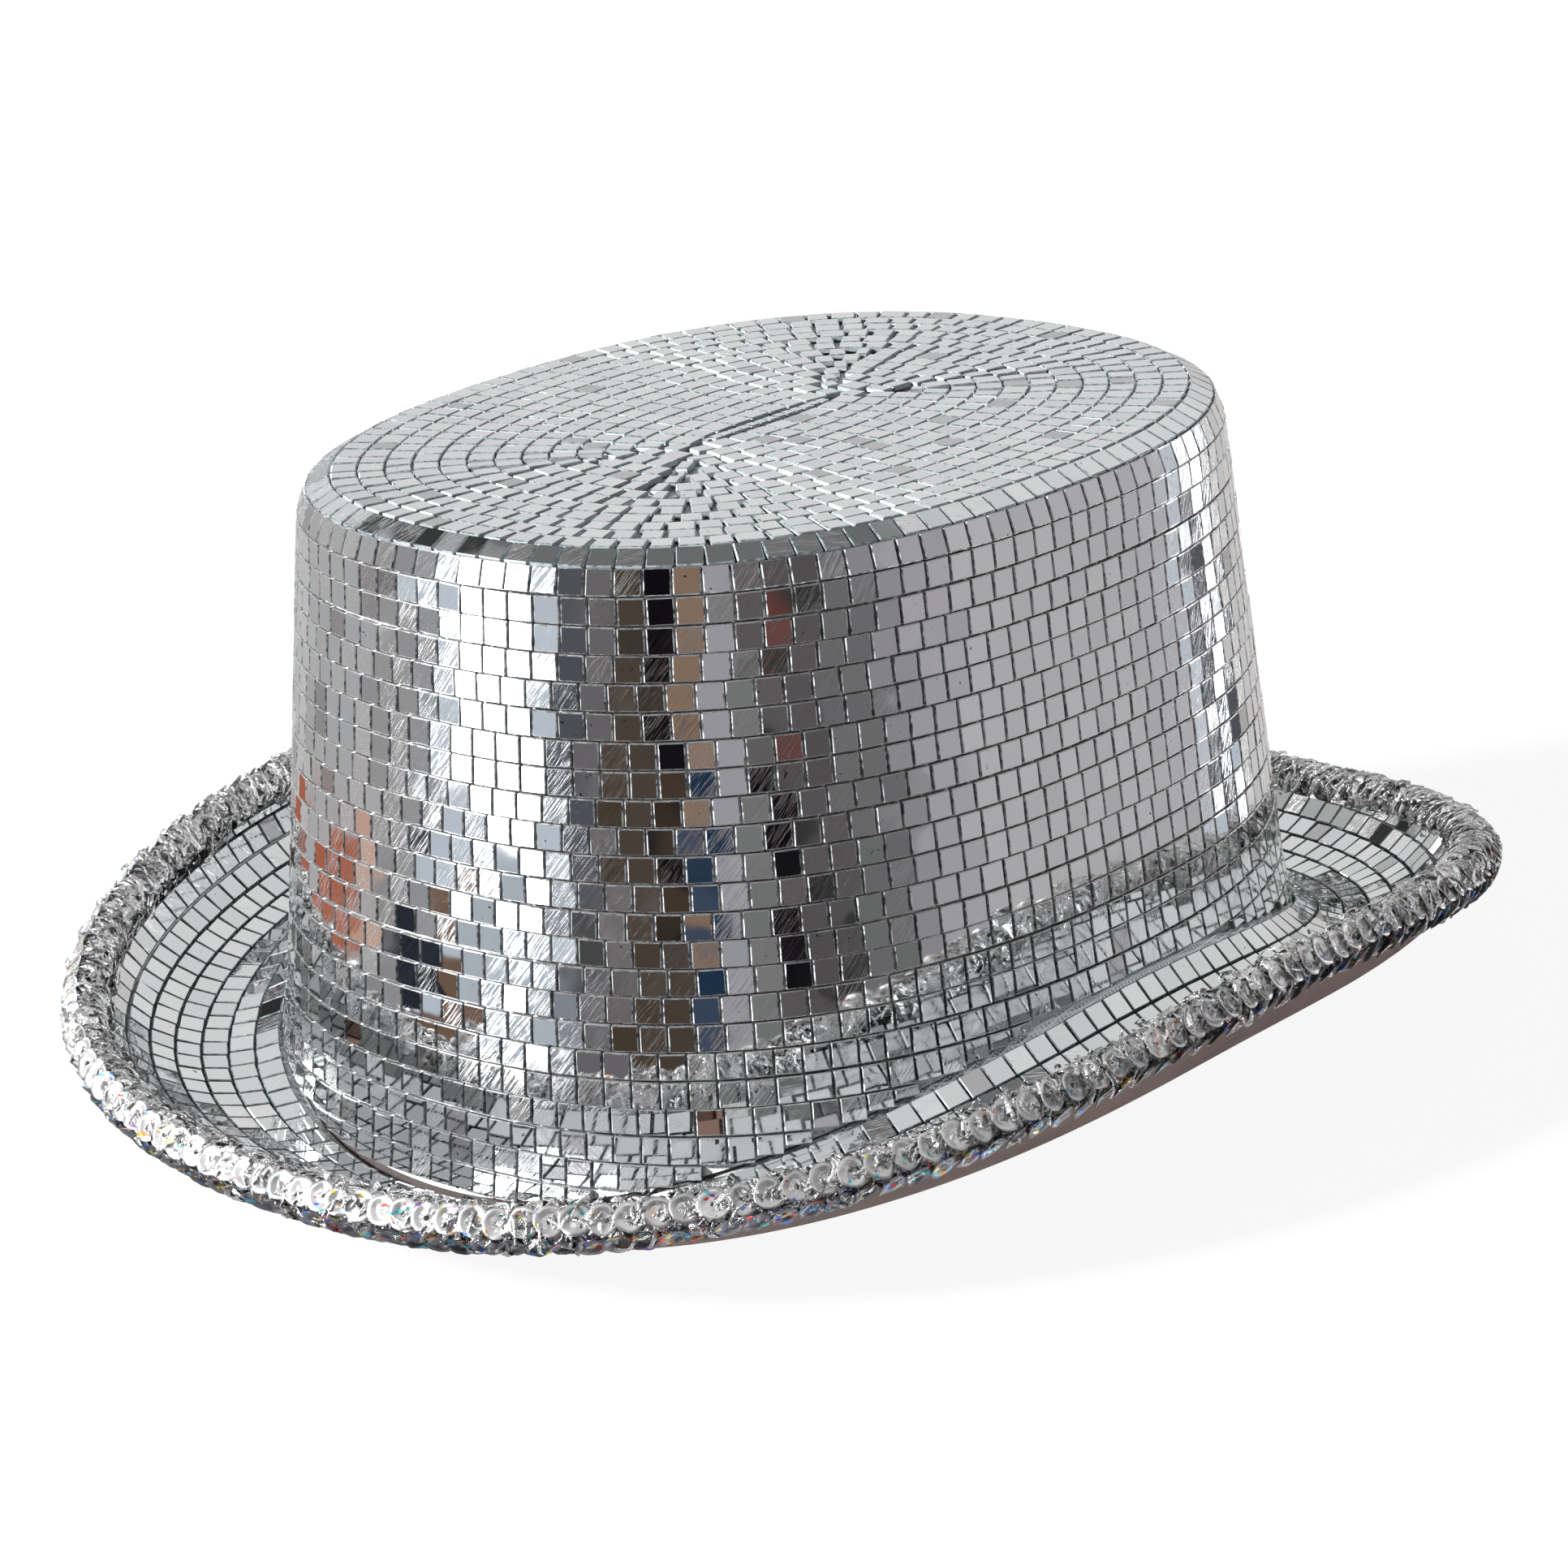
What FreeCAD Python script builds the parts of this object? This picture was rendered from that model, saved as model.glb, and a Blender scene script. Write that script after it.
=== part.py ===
import FreeCAD, Part
import math
import os
import random

from FreeCAD import Vector

# Mirror-tile party hat: a short oval top hat with a curled brim, covered in 5 mm glass mirror
# tiles and edged with a tinsel braid and cup sequins.
# Millimetres, +Z up, z = 0 under the lowest felt. The front of the hat faces -Y, and the
# wearer's left and right are the X sides. Outlines are ovals with the long axis along Y.
# The angle t runs round the hat from the +X side through the back (+Y).

# Outline of the crown, measured on the faces of the tiles
OVAL_POWER = 2.36           # exponent of the oval; 2 would be a plain ellipse
SEAM_HALF_SHORT = 85.3      # at the seam between crown and brim
SEAM_HALF_LONG = 103.3
SHOULDER_INSET = 12.3       # taper of the wall, from the seam to the shoulder edge
SHOULDER_WIDTH = 4.6        # sloping shoulder between the wall and the flat tip
SHOULDER_STEP = 2.4
SHOULDER_RISE = 104.2       # shoulder edge above the mean level of the seam
TOP_ROW_DROP = 4.8          # the first row under the shoulder leans in more than the wall
TOP_ROW_LEAN = 1.75
FLARE = 1.0                 # the foot of the wall spreads a little
FLARE_HEIGHT = 12.0

# Seam and brim; the wave lifts the sides of the hat and drops its front and back
SEAM_WAVE = 13.4
EDGE_POWER = 2.45
EDGE_HALF_SHORT = 116.6     # centre of the trim round the brim's edge
EDGE_HALF_LONG = 135.3
EDGE_LIFT = 10.3            # mean height of the edge above the mean seam
EDGE_WAVE = 10.8
EDGE_RIPPLE = 0.8
SAG = 7.0                   # how far the brim hangs under a straight line from seam to edge
SAG_WAVE = 4.9

# Layers, from the mirror faces inwards
TILE_THICK = 1.1
BRIM_LIFT = 0.10            # flat tiles stand a little proud in the hollow of the brim
UPTURN = 9.0                # tilt of the last tile before the trim, in degrees
CLOTH_THICK = 0.25
CLOTH_DEPTH = 1.40
BODY_DEPTH = 1.70
WALL_THICK = 2.0
BOARD_THICK = 1.3
FELT_THICK = 0.8
LINING_THICK = 0.5
TAPE_THICK = 0.5
BAND_THICK = 1.0
GAP = 0.05                  # between layers that touch in the real hat
SEAM_GAP = 0.6              # open line between the crown tiles and the brim tiles

BOARD_BOTTOM = BODY_DEPTH + BOARD_THICK
FELT_BOTTOM = BOARD_BOTTOM + GAP + FELT_THICK
WALL_INNER = BODY_DEPTH + WALL_THICK
LINING_INSET = WALL_INNER + GAP + TAPE_THICK + GAP
BAND_INSET = LINING_INSET + LINING_THICK + GAP

# Levels
SEAM_LEVEL = SEAM_WAVE + FELT_BOTTOM + 0.156     # puts the lowest felt at z = 0
SHOULDER_Z = SEAM_LEVEL + SHOULDER_RISE
TIP_Z = SHOULDER_Z + SHOULDER_STEP

# Tiles
TILE = 4.8
PITCH = 5.1
SMALLEST_CUT = 1.3
CUT_SIZES = [(TILE, TILE), (3.9, TILE), (TILE, 3.7), (3.2, TILE), (3.7, 3.7), (2.5, TILE),
             (TILE, 2.5), (2.5, 3.4), (3.4, 2.3), (2.3, 2.3), (1.5, 3.0), (1.5, 1.5)]
TIP_RINGS = 13
TIP_GROUPS = [
    ("tip_tiles_outer_rings", 0, 3),
    ("tip_tiles_middle_rings", 4, 7),
    ("tip_tiles_inner_rings", 8, TIP_RINGS - 1),
]

# Sweatband
BAND_HEIGHT = 34.0
STITCH_LENGTH = 3.0
STITCH_PITCH = 4.6
STITCH_THICK = 0.45

# Trim round the edge of the brim
TRIM_DEPTH = 1.9            # centre of the trim below the mirror faces
BRAID_RADIUS = 3.1
SEQUIN_RADIUS = 2.8
SEQUIN_HOLE = 0.5
SEQUIN_FLAT = 1.3
SEQUIN_CUP = 0.5
SEQUIN_THICK = 0.12
SEQUIN_PITCH = 4.6
SEQUIN_TILT = 14.0
UPPER_ELEVATION = 35.0
LOWER_ELEVATION = -41.0

LOOP_POINTS = 48
RANDOM = random.Random(31)


# ---------------------------------------------------------------- outlines and surfaces

def oval(t, half_short, half_long, power=OVAL_POWER):
    """Point of the oval outline at stretched angle t."""
    c = math.cos(t)
    s = math.sin(t)
    reach = (abs(c) ** power + abs(s) ** power) ** (1.0 / power)
    return half_short * c / reach, half_long * s / reach


def seam_z(t):
    return SEAM_LEVEL + SEAM_WAVE * math.cos(2 * t)


def edge_z(t):
    return SEAM_LEVEL + EDGE_LIFT + EDGE_WAVE * math.cos(2 * t) + EDGE_RIPPLE * math.cos(4 * t)


def wall_spread(drop, half_at_seam, seam_drop):
    """How far the wall stands out from the shoulder edge at a drop below it."""
    lean = TOP_ROW_LEAN * min(drop, TOP_ROW_DROP) / TOP_ROW_DROP
    slope = (SHOULDER_INSET - TOP_ROW_LEAN - FLARE) / (seam_drop - TOP_ROW_DROP)
    return half_at_seam - SHOULDER_INSET + lean + slope * max(0.0, drop - TOP_ROW_DROP)


def wall(t, z, inset=0.0):
    """Point on the crown's wall at height z, moved inwards by inset."""
    drop = SHOULDER_Z - z
    half_short = wall_spread(drop, SEAM_HALF_SHORT, SHOULDER_RISE - SEAM_WAVE)
    half_long = wall_spread(drop, SEAM_HALF_LONG, SHOULDER_RISE + SEAM_WAVE)
    foot = max(0.0, 1.0 - max(0.0, z - seam_z(t)) / FLARE_HEIGHT)
    spread = FLARE * foot ** 2 - inset
    x, y = oval(t, half_short + spread, half_long + spread)
    return Vector(x, y, z)


def tip_edge(t, inset, z):
    """Point on the outline of the flat tip, moved inwards by inset."""
    shrink = SHOULDER_INSET + SHOULDER_WIDTH + inset
    x, y = oval(t, SEAM_HALF_SHORT - shrink, SEAM_HALF_LONG - shrink)
    return Vector(x, y, z)


def brim_face(t, v):
    """Point on the brim's mirror faces: v is 0 at the seam and 1 at the trim's centre."""
    blend = OVAL_POWER + (EDGE_POWER - OVAL_POWER) * v
    half_short = SEAM_HALF_SHORT + (EDGE_HALF_SHORT - SEAM_HALF_SHORT) * v
    half_long = SEAM_HALF_LONG + (EDGE_HALF_LONG - SEAM_HALF_LONG) * v
    x, y = oval(t, half_short, half_long, blend)
    hang = (SAG + SAG_WAVE * math.cos(2 * t)) * 4.0 * v * (1.0 - v)
    return Vector(x, y, seam_z(t) + (edge_z(t) - seam_z(t)) * v - hang)


def brim_frame(t, v):
    """Directions on the brim: along the ring, outwards across it, and its upward normal."""
    along = (brim_face(t + 0.004, v) - brim_face(t - 0.004, v)).normalize()
    across = (brim_face(t, v + 0.004) - brim_face(t, v - 0.004)).normalize()
    normal = across.cross(along).normalize()
    return along, across, normal


def brim(t, v, depth):
    """Point below the brim's mirror faces."""
    return brim_face(t, v) - brim_frame(t, v)[2] * depth


def trim(t, out, up):
    """Point near the brim's edge: out from the trim's centre across the brim, up along its normal."""
    speed = (brim_face(t, 1.01) - brim_face(t, 0.99)).Length / 0.02
    return brim(t, 1.0 + out / speed, TRIM_DEPTH - up)


# ---------------------------------------------------------------- solids

def closed_curve(place):
    """Smooth closed edge through the points place(t)."""
    points = [place(2 * math.pi * i / LOOP_POINTS) for i in range(LOOP_POINTS)]
    curve = Part.BSplineCurve()
    curve.interpolate(Points=points, PeriodicFlag=True)
    return curve.toShape()


def ring_solid(corners):
    """Solid ring whose cross-section is a polygon; each corner is a function of t."""
    edges = [closed_curve(corner) for corner in corners]
    faces = []
    for i, edge in enumerate(edges):
        faces.append(Part.makeRuledSurface(edge, edges[(i + 1) % len(edges)]))
    shell = Part.makeShell(faces)
    shell.sewShape()
    solid = Part.makeSolid(shell)
    if solid.Volume < 0:
        solid.reverse()
    return solid


def plate(place, thickness):
    """Flat plate inside a level closed curve, growing upwards."""
    wire = Part.Wire([closed_curve(place)])
    return Part.Face(wire).extrude(Vector(0, 0, thickness))


def placed(shape, origin, along, normal):
    """Shape moved so that its X runs along the row and its Z along the normal."""
    side = normal.cross(along)
    matrix = FreeCAD.Matrix(
        along.x, side.x, normal.x, origin.x,
        along.y, side.y, normal.y, origin.y,
        along.z, side.z, normal.z, origin.z,
        0, 0, 0, 1)
    moved = shape.copy()
    moved.transformShape(matrix)
    return moved


def tilted(along, normal, about_row, across_row, in_plane):
    """Row directions turned by three small angles in degrees."""
    turn = FreeCAD.Rotation(normal, in_plane)
    turn = FreeCAD.Rotation(along, about_row).multiply(turn)
    turn = FreeCAD.Rotation(normal.cross(along), across_row).multiply(turn)
    return turn.multVec(along), turn.multVec(normal)


def tile(origin, along, normal, height=TILE, width=TILE, upturn=0.0):
    """One glass tile: origin is where its mirror face would be if it lay perfectly true."""
    loose = 2.6 if RANDOM.random() < 0.05 else 1.0
    about_row = loose * RANDOM.uniform(-1.0, 1.0) - upturn
    across_row = loose * RANDOM.uniform(-1.0, 1.0)
    in_plane = RANDOM.uniform(-1.2, 1.2)
    along, normal = tilted(along, normal, about_row, across_row, in_plane)
    wide = width + RANDOM.uniform(-0.10, 0.06)
    tall = height + RANDOM.uniform(-0.10, 0.04)
    glass = Part.makeBox(wide, tall, TILE_THICK, Vector(-wide / 2, -tall / 2, -TILE_THICK))
    return placed(glass, origin + normal * RANDOM.uniform(-0.04, 0.06), along, normal)


# ---------------------------------------------------------------- walking along rows

def walk(points, step_count, phase):
    """Evenly spaced positions round a closed line of points, as fractional indexes."""
    lengths = [0.0]
    for i, point in enumerate(points):
        lengths.append(lengths[-1] + (points[(i + 1) % len(points)] - point).Length)
    total = lengths[-1]
    marks = []
    i = 0
    for k in range(step_count):
        target = total * (k + phase) / step_count
        while lengths[i + 1] < target:
            i += 1
        marks.append(i + (target - lengths[i]) / (lengths[i + 1] - lengths[i]))
    return marks


def ring_angles(place, pitch, phase, samples=720):
    """Angles t of evenly spaced positions round the ring place(t)."""
    points = [place(2 * math.pi * i / samples) for i in range(samples)]
    length = sum((points[i] - points[i - 1]).Length for i in range(samples))
    marks = walk(points, int(length / pitch), phase)
    return [2 * math.pi * mark / samples for mark in marks]


def strip_phases(row_count):
    """Start of each row round the hat; strips one to three rows wide keep their joints in line."""
    phases = []
    while len(phases) < row_count:
        phase = RANDOM.random()
        phases.extend([phase] * RANDOM.choice([1, 1, 2, 2, 3]))
    return phases[:row_count]


# ---------------------------------------------------------------- crown

def crown_side_body():
    """Stiff felt wall, rolled over at the shoulder to meet the tip."""
    corners = []
    for inset in (BODY_DEPTH, WALL_INNER):
        shrink = inset - 0.45
        line = [
            lambda t, i=inset: wall(t, seam_z(t) - BODY_DEPTH + GAP, i),
            lambda t, i=inset: wall(t, seam_z(t) + 4, i),
            lambda t, i=inset: wall(t, seam_z(t) + FLARE_HEIGHT, i),
            lambda t, i=inset: wall(t, SHOULDER_Z - TOP_ROW_DROP - 0.2 * i, i),
            lambda t, i=inset, s=shrink: wall(t, SHOULDER_Z - 0.8 * i, s),
            lambda t, i=inset: tip_edge(t, 0.25 * i, TIP_Z - i),
        ]
        corners.extend(line if inset == BODY_DEPTH else reversed(line))
    return ring_solid(corners)


def crown_tip_body():
    return plate(lambda t: tip_edge(t, 0.25 * WALL_INNER + 0.2, TIP_Z - WALL_INNER), WALL_THICK)


def tip_joint_tape():
    """Cloth tape glued inside, over the joint between wall and tip."""
    top = TIP_Z - WALL_INNER - GAP
    outer = WALL_INNER + GAP
    return ring_solid([
        lambda t: wall(t, SHOULDER_Z - 12, outer),
        lambda t: wall(t, SHOULDER_Z - TOP_ROW_DROP - 1.5, outer),
        lambda t: wall(t, SHOULDER_Z - 0.8 * outer - 0.2, outer - 0.4),
        lambda t: tip_edge(t, 0.25 * outer + 0.1, top),
        lambda t: tip_edge(t, 13, top),
        lambda t: tip_edge(t, 13, top - TAPE_THICK),
        lambda t: tip_edge(t, 0.25 * outer + 0.3, top - TAPE_THICK),
        lambda t: wall(t, SHOULDER_Z - 0.8 * outer - 0.75, outer + 0.05),
        lambda t: wall(t, SHOULDER_Z - TOP_ROW_DROP - 1.6, outer + TAPE_THICK),
        lambda t: wall(t, SHOULDER_Z - 12, outer + TAPE_THICK),
    ])


def crown_lining_side():
    top = TIP_Z - WALL_INNER - TAPE_THICK - 2 * GAP
    far = LINING_INSET + LINING_THICK
    return ring_solid([
        lambda t: wall(t, seam_z(t) + 3, LINING_INSET),
        lambda t: wall(t, seam_z(t) + FLARE_HEIGHT, LINING_INSET),
        lambda t: wall(t, SHOULDER_Z - TOP_ROW_DROP - 1.8, LINING_INSET),
        lambda t: wall(t, SHOULDER_Z - 0.8 * WALL_INNER - 1.0, LINING_INSET - 0.45),
        lambda t: tip_edge(t, 2.0, top),
        lambda t: tip_edge(t, 2.0, top - LINING_THICK),
        lambda t: wall(t, SHOULDER_Z - 0.8 * WALL_INNER - 1.6, far - 0.4),
        lambda t: wall(t, SHOULDER_Z - TOP_ROW_DROP - 2.0, far),
        lambda t: wall(t, seam_z(t) + FLARE_HEIGHT, far),
        lambda t: wall(t, seam_z(t) + 3, far),
    ])


def crown_lining_tip():
    bottom = TIP_Z - WALL_INNER - TAPE_THICK - 2 * GAP - LINING_THICK
    return plate(lambda t: tip_edge(t, 2.0 + GAP, bottom), LINING_THICK)


def crown_side_cloth():
    """Woven backing of the tile strips on the wall."""
    corners = []
    for inset in (CLOTH_DEPTH, CLOTH_DEPTH + CLOTH_THICK):
        line = [
            lambda t, i=inset: wall(t, seam_z(t) + SEAM_GAP, i),
            lambda t, i=inset: wall(t, seam_z(t) + 4, i),
            lambda t, i=inset: wall(t, seam_z(t) + FLARE_HEIGHT, i),
            lambda t, i=inset: wall(t, SHOULDER_Z - TOP_ROW_DROP - 0.2 * i, i),
            lambda t, i=inset: wall(t, SHOULDER_Z - 0.8 * i - 0.5, i - 0.35),
        ]
        corners.extend(line if inset == CLOTH_DEPTH else reversed(line))
    return ring_solid(corners)


def shoulder_cloth():
    corners = []
    for depth in (CLOTH_DEPTH, CLOTH_DEPTH + CLOTH_THICK):
        line = [
            lambda t, d=depth: wall(t, SHOULDER_Z - 0.8 * d, d - 0.3),
            lambda t, d=depth: tip_edge(t, 0.25 * d - 0.1, TIP_Z - d),
        ]
        corners.extend(line if depth == CLOTH_DEPTH else reversed(line))
    return ring_solid(corners)


def tip_cloth():
    return plate(lambda t: tip_edge(t, 0.6, TIP_Z - CLOTH_DEPTH - CLOTH_THICK), CLOTH_THICK)


# ---------------------------------------------------------------- brim and sweatband

def brim_layer(top, bottom, inner_inset):
    """Curled ring from the crown's wall, where its inner edge is a level ledge, to the trim."""
    steps = [0.04, 0.16, 0.3, 0.45, 0.6, 0.75, 0.88, 1.0]
    corners = []
    for depth in (top, bottom):
        line = [lambda t, d=depth: wall(t, seam_z(t), inner_inset) - Vector(0, 0, d)]
        line += [lambda t, v=v, d=depth: brim(t, v, d) for v in steps]
        corners.extend(line if depth == top else reversed(line))
    return ring_solid(corners)


def brim_board():
    return brim_layer(BODY_DEPTH, BOARD_BOTTOM, WALL_INNER)


def brim_under_felt():
    return brim_layer(BOARD_BOTTOM + GAP, FELT_BOTTOM, WALL_INNER)


def brim_cloth():
    """Woven backing of the tile strips on the brim."""
    steps = [0.03, 0.16, 0.3, 0.45, 0.6, 0.75, 0.86]
    corners = []
    for depth in (CLOTH_DEPTH, CLOTH_DEPTH + CLOTH_THICK):
        line = [lambda t, v=v, d=depth: brim(t, v, d) for v in steps]
        corners.extend(line if depth == CLOTH_DEPTH else reversed(line))
    return ring_solid(corners)


def band_line(extra):
    """Upright line of the sweatband: against the brim's inner edge, then over the lining."""
    return [
        lambda t: wall(t, seam_z(t) - BOARD_BOTTOM, WALL_INNER + GAP + extra),
        lambda t: wall(t, seam_z(t), WALL_INNER + GAP + extra),
        lambda t: wall(t, seam_z(t) + 2.4, BAND_INSET + extra),
        lambda t: wall(t, seam_z(t) + FLARE_HEIGHT, BAND_INSET + extra),
        lambda t: wall(t, seam_z(t) - BOARD_BOTTOM + BAND_HEIGHT, BAND_INSET + extra),
    ]


def sweatband():
    """Band round the head, its two ends meeting at the back."""
    ring = ring_solid(band_line(0) + band_line(BAND_THICK)[::-1])
    slit = Part.makeBox(0.8, 40, 100, Vector(-0.4, 70, 0))
    return ring.cut(slit)


def sweatband_join_patch():
    """Small cloth patch over the two ends of the sweatband."""
    z = seam_z(math.pi / 2) + 14.5
    inset = BAND_INSET + BAND_THICK + 0.45
    centre = wall(math.pi / 2, z, inset)
    lean = (wall(math.pi / 2, z + 5, inset) - wall(math.pi / 2, z - 5, inset)).normalize()
    along = Vector(1, 0, 0)
    patch = Part.makeBox(13, 27, 0.6, Vector(-6.5, -13.5, 0))
    return placed(patch, centre, along, along.cross(lean))


def sweatband_stitches():
    """Thread stitches that hold the sweatband to the inner edge of the brim."""
    inset = WALL_INNER + GAP + BAND_THICK

    def place(t):
        return wall(t, seam_z(t) - 1.2, inset + 0.03)

    stitches = []
    for t in ring_angles(place, STITCH_PITCH, 0.3):
        if abs(place(t).x) < 2.5 and place(t).y > 0:
            continue
        along = (place(t + 0.004) - place(t - 0.004)).normalize()
        inward = along.cross(Vector(0, 0, -1)).normalize()
        thread = Part.makeBox(
            STITCH_LENGTH, STITCH_THICK, STITCH_THICK, Vector(-STITCH_LENGTH / 2, 0, 0))
        stitches.append(placed(thread, place(t), along, inward))
    return Part.makeCompound(stitches)


# ---------------------------------------------------------------- tiles

def wall_row(row, phase):
    """One row of tiles round the wall; row 0 is just under the shoulder."""
    slope = (row + 0.5) * PITCH
    lean_length = math.hypot(TOP_ROW_DROP, TOP_ROW_LEAN)
    if row == 0:
        level = SHOULDER_Z - slope * TOP_ROW_DROP / lean_length
    else:
        level = SHOULDER_Z - TOP_ROW_DROP - (slope - lean_length) * 0.994
    wave = RANDOM.uniform(0, 2 * math.pi)

    def place(t):
        z = level + 0.12 * math.sin(3 * t + wave)
        return wall(t, z)

    tiles = []
    for t in ring_angles(place, PITCH, phase):
        centre = place(t)
        top = centre.z + TILE / 2
        bottom = max(centre.z - TILE / 2, seam_z(t) + SEAM_GAP)
        if top - bottom < SMALLEST_CUT:
            continue
        middle = wall(t, (top + bottom) / 2)
        along = (place(t + 0.004) - place(t - 0.004)).normalize()
        rise = (wall(t, middle.z + 0.5) - wall(t, middle.z - 0.5)).normalize()
        normal = along.cross(rise).normalize()
        tiles.append(tile(middle, along, normal, height=top - bottom))
    return Part.makeCompound(tiles) if tiles else None


def shoulder_row():
    """Row of tiles on the sloping shoulder."""
    def place(t):
        return (wall(t, SHOULDER_Z) + tip_edge(t, 0, TIP_Z)) * 0.5

    tiles = []
    for t in ring_angles(place, PITCH, 0.4):
        along = (place(t + 0.004) - place(t - 0.004)).normalize()
        rise = (tip_edge(t, 0, TIP_Z) - wall(t, SHOULDER_Z)).normalize()
        tiles.append(tile(place(t), along, along.cross(rise).normalize()))
    return Part.makeCompound(tiles)


def tip_outline(samples=720):
    return [tip_edge(2 * math.pi * i / samples, 0, TIP_Z) for i in range(samples)]


def room(point, outline):
    """Distance from a point on the tip to the tip's outline."""
    return min(math.hypot(point.x - q.x, point.y - q.y) for q in outline)


class Mosaic:
    """Tiles laid flat on the tip one by one; each is cut down until it clears the others."""

    def __init__(self):
        self.laid = []
        self.tiles = []

    def clear(self, corners, centre):
        for other, middle in self.laid:
            if (middle - centre).Length < 8.0 and overlap(corners, other):
                return False
        return True

    def lay(self, centre, along, kept_side=1.0):
        """Lay the largest tile that fits, cut from the inner side (1.0) or from both (0.0)."""
        inward = Vector(0, 0, 1).cross(along)
        for width, height in CUT_SIZES:
            middle = centre + inward * (kept_side * (height - TILE) / 2)
            corners = rectangle(middle, along, inward, width + 0.2, height + 0.2)
            if self.clear(corners, middle):
                self.laid.append((corners, middle))
                self.tiles.append(tile(middle, along, Vector(0, 0, 1), height, width))
                return


def rectangle(centre, along, inward, width, height):
    """Corners of a rectangle on the tip, in order."""
    half = along * (width / 2)
    rise = inward * (height / 2)
    return [centre - half - rise, centre + half - rise, centre + half + rise, centre - half + rise]


def overlap(first, second):
    """Whether two rectangles on the tip overlap."""
    for box in (first, second):
        for axis in (box[1] - box[0], box[3] - box[0]):
            one = [corner.dot(axis) for corner in first]
            two = [corner.dot(axis) for corner in second]
            if max(one) <= min(two) or max(two) <= min(one):
                return False
    return True


def tip_line(depth, outline):
    """Points at a depth inside the tip's outline, in unbroken runs, and whether they close."""
    count = len(outline)
    line = []
    for i in range(count):
        tangent = (outline[(i + 1) % count] - outline[i - 1]).normalize()
        point = outline[i] + Vector(0, 0, 1).cross(tangent) * depth
        if room(point, outline) > depth - 0.05:
            line.append(point)
    runs = [[line[0]]]
    for previous, point in zip(line, line[1:]):
        if (point - previous).Length > 4.0:
            runs.append([])
        runs[-1].append(point)
    if len(runs) > 1 and (line[0] - line[-1]).Length < 4.0:
        runs[0] = runs.pop() + runs[0]
    return runs, len(runs) == 1


def lay_run(mosaic, run, closed):
    """Tiles spaced along one run; an open run is filled from its middle."""
    lengths = [0.0]
    for previous, point in zip(run, run[1:]):
        lengths.append(lengths[-1] + (point - previous).Length)
    total = lengths[-1] + ((run[0] - run[-1]).Length if closed else 0.0)
    count = int(total / PITCH) if closed else int(total / PITCH) + 1
    spacing = total / count if closed else PITCH
    start = RANDOM.random() * spacing if closed else (total - (count - 1) * spacing) / 2
    i = 0
    for k in range(count):
        target = max(0.0, start + k * spacing)
        while i < len(run) - 2 and lengths[i + 1] < target:
            i += 1
        ahead = run[min(i + 3, len(run) - 1)]
        behind = run[max(i - 2, 0)]
        step = (run[i + 1] - run[i]).normalize()
        mosaic.lay(run[i] + step * (target - lengths[i]), (ahead - behind).normalize())


def tip_mosaic():
    """All tiles of the tip, by node name: rings parallel to its edge and a middle row."""
    mosaic = Mosaic()
    outline = tip_outline()
    pitch = (SEAM_HALF_SHORT - SHOULDER_INSET - SHOULDER_WIDTH) / (TIP_RINGS + 0.5)
    nodes = {}
    for name, first, last in TIP_GROUPS:
        before = len(mosaic.tiles)
        for ring in range(first, last + 1):
            runs, closed = tip_line((ring + 0.5) * pitch, outline)
            for run in runs:
                lay_run(mosaic, run, closed)
        if last == TIP_RINGS - 1:
            for k in range(-22, 23):
                mosaic.lay(Vector(0, k * PITCH / 2 + 0.9, TIP_Z), Vector(0, 1, 0), 0.0)
        nodes[name] = Part.makeCompound(mosaic.tiles[before:])
    return nodes


def brim_reach(t, samples=40):
    """Distance across the brim from the seam to each of evenly spaced v."""
    lengths = [0.0]
    for i in range(samples):
        step = brim_face(t, (i + 1) / samples) - brim_face(t, i / samples)
        lengths.append(lengths[-1] + step.Length)
    return lengths


def brim_v(t, distance):
    """The v at a distance across the brim from the seam."""
    lengths = brim_reach(t)
    samples = len(lengths) - 1
    for i in range(samples):
        if lengths[i + 1] >= distance:
            return (i + (distance - lengths[i]) / (lengths[i + 1] - lengths[i])) / samples
    return 1.0 + (distance - lengths[-1]) / (lengths[-1] - lengths[-2]) / samples


def brim_row(row, phase):
    """One row of tiles round the brim; rows past the narrow front and back are cut short."""
    distance = SEAM_GAP + (row + 0.5) * PITCH

    def place(t):
        return brim_face(t, brim_v(t, distance))

    tiles = []
    for t in ring_angles(place, PITCH, phase, samples=240):
        limit = brim_reach(t)[-1] - BRAID_RADIUS - 0.3
        inner = distance - TILE / 2
        outer = min(distance + TILE / 2, limit)
        if outer - inner < SMALLEST_CUT:
            continue
        last = outer + PITCH > limit
        v = brim_v(t, (inner + outer) / 2)
        along, _, normal = brim_frame(t, v)
        lift = BRIM_LIFT + (0.25 if last else 0.0)
        centre = brim_face(t, v) + normal * lift
        upturn = UPTURN if last else 0.0
        tiles.append(tile(centre, along, normal, height=outer - inner, upturn=upturn))
    return Part.makeCompound(tiles)


# ---------------------------------------------------------------- trim

def edge_binding():
    """Tape folded over the edge of the board and the felt."""
    top = TRIM_DEPTH - BODY_DEPTH
    bottom = TRIM_DEPTH - FELT_BOTTOM
    inner = 2 * GAP
    outer = inner + TAPE_THICK
    return ring_solid([
        lambda t: trim(t, -2.6, top + GAP),
        lambda t: trim(t, inner, top + GAP),
        lambda t: trim(t, inner, bottom - GAP),
        lambda t: trim(t, -2.6, bottom - GAP),
        lambda t: trim(t, -2.6, bottom - GAP - TAPE_THICK),
        lambda t: trim(t, outer, bottom - GAP - TAPE_THICK),
        lambda t: trim(t, outer, top + GAP + TAPE_THICK),
        lambda t: trim(t, -2.6, top + GAP + TAPE_THICK),
    ])


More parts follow.
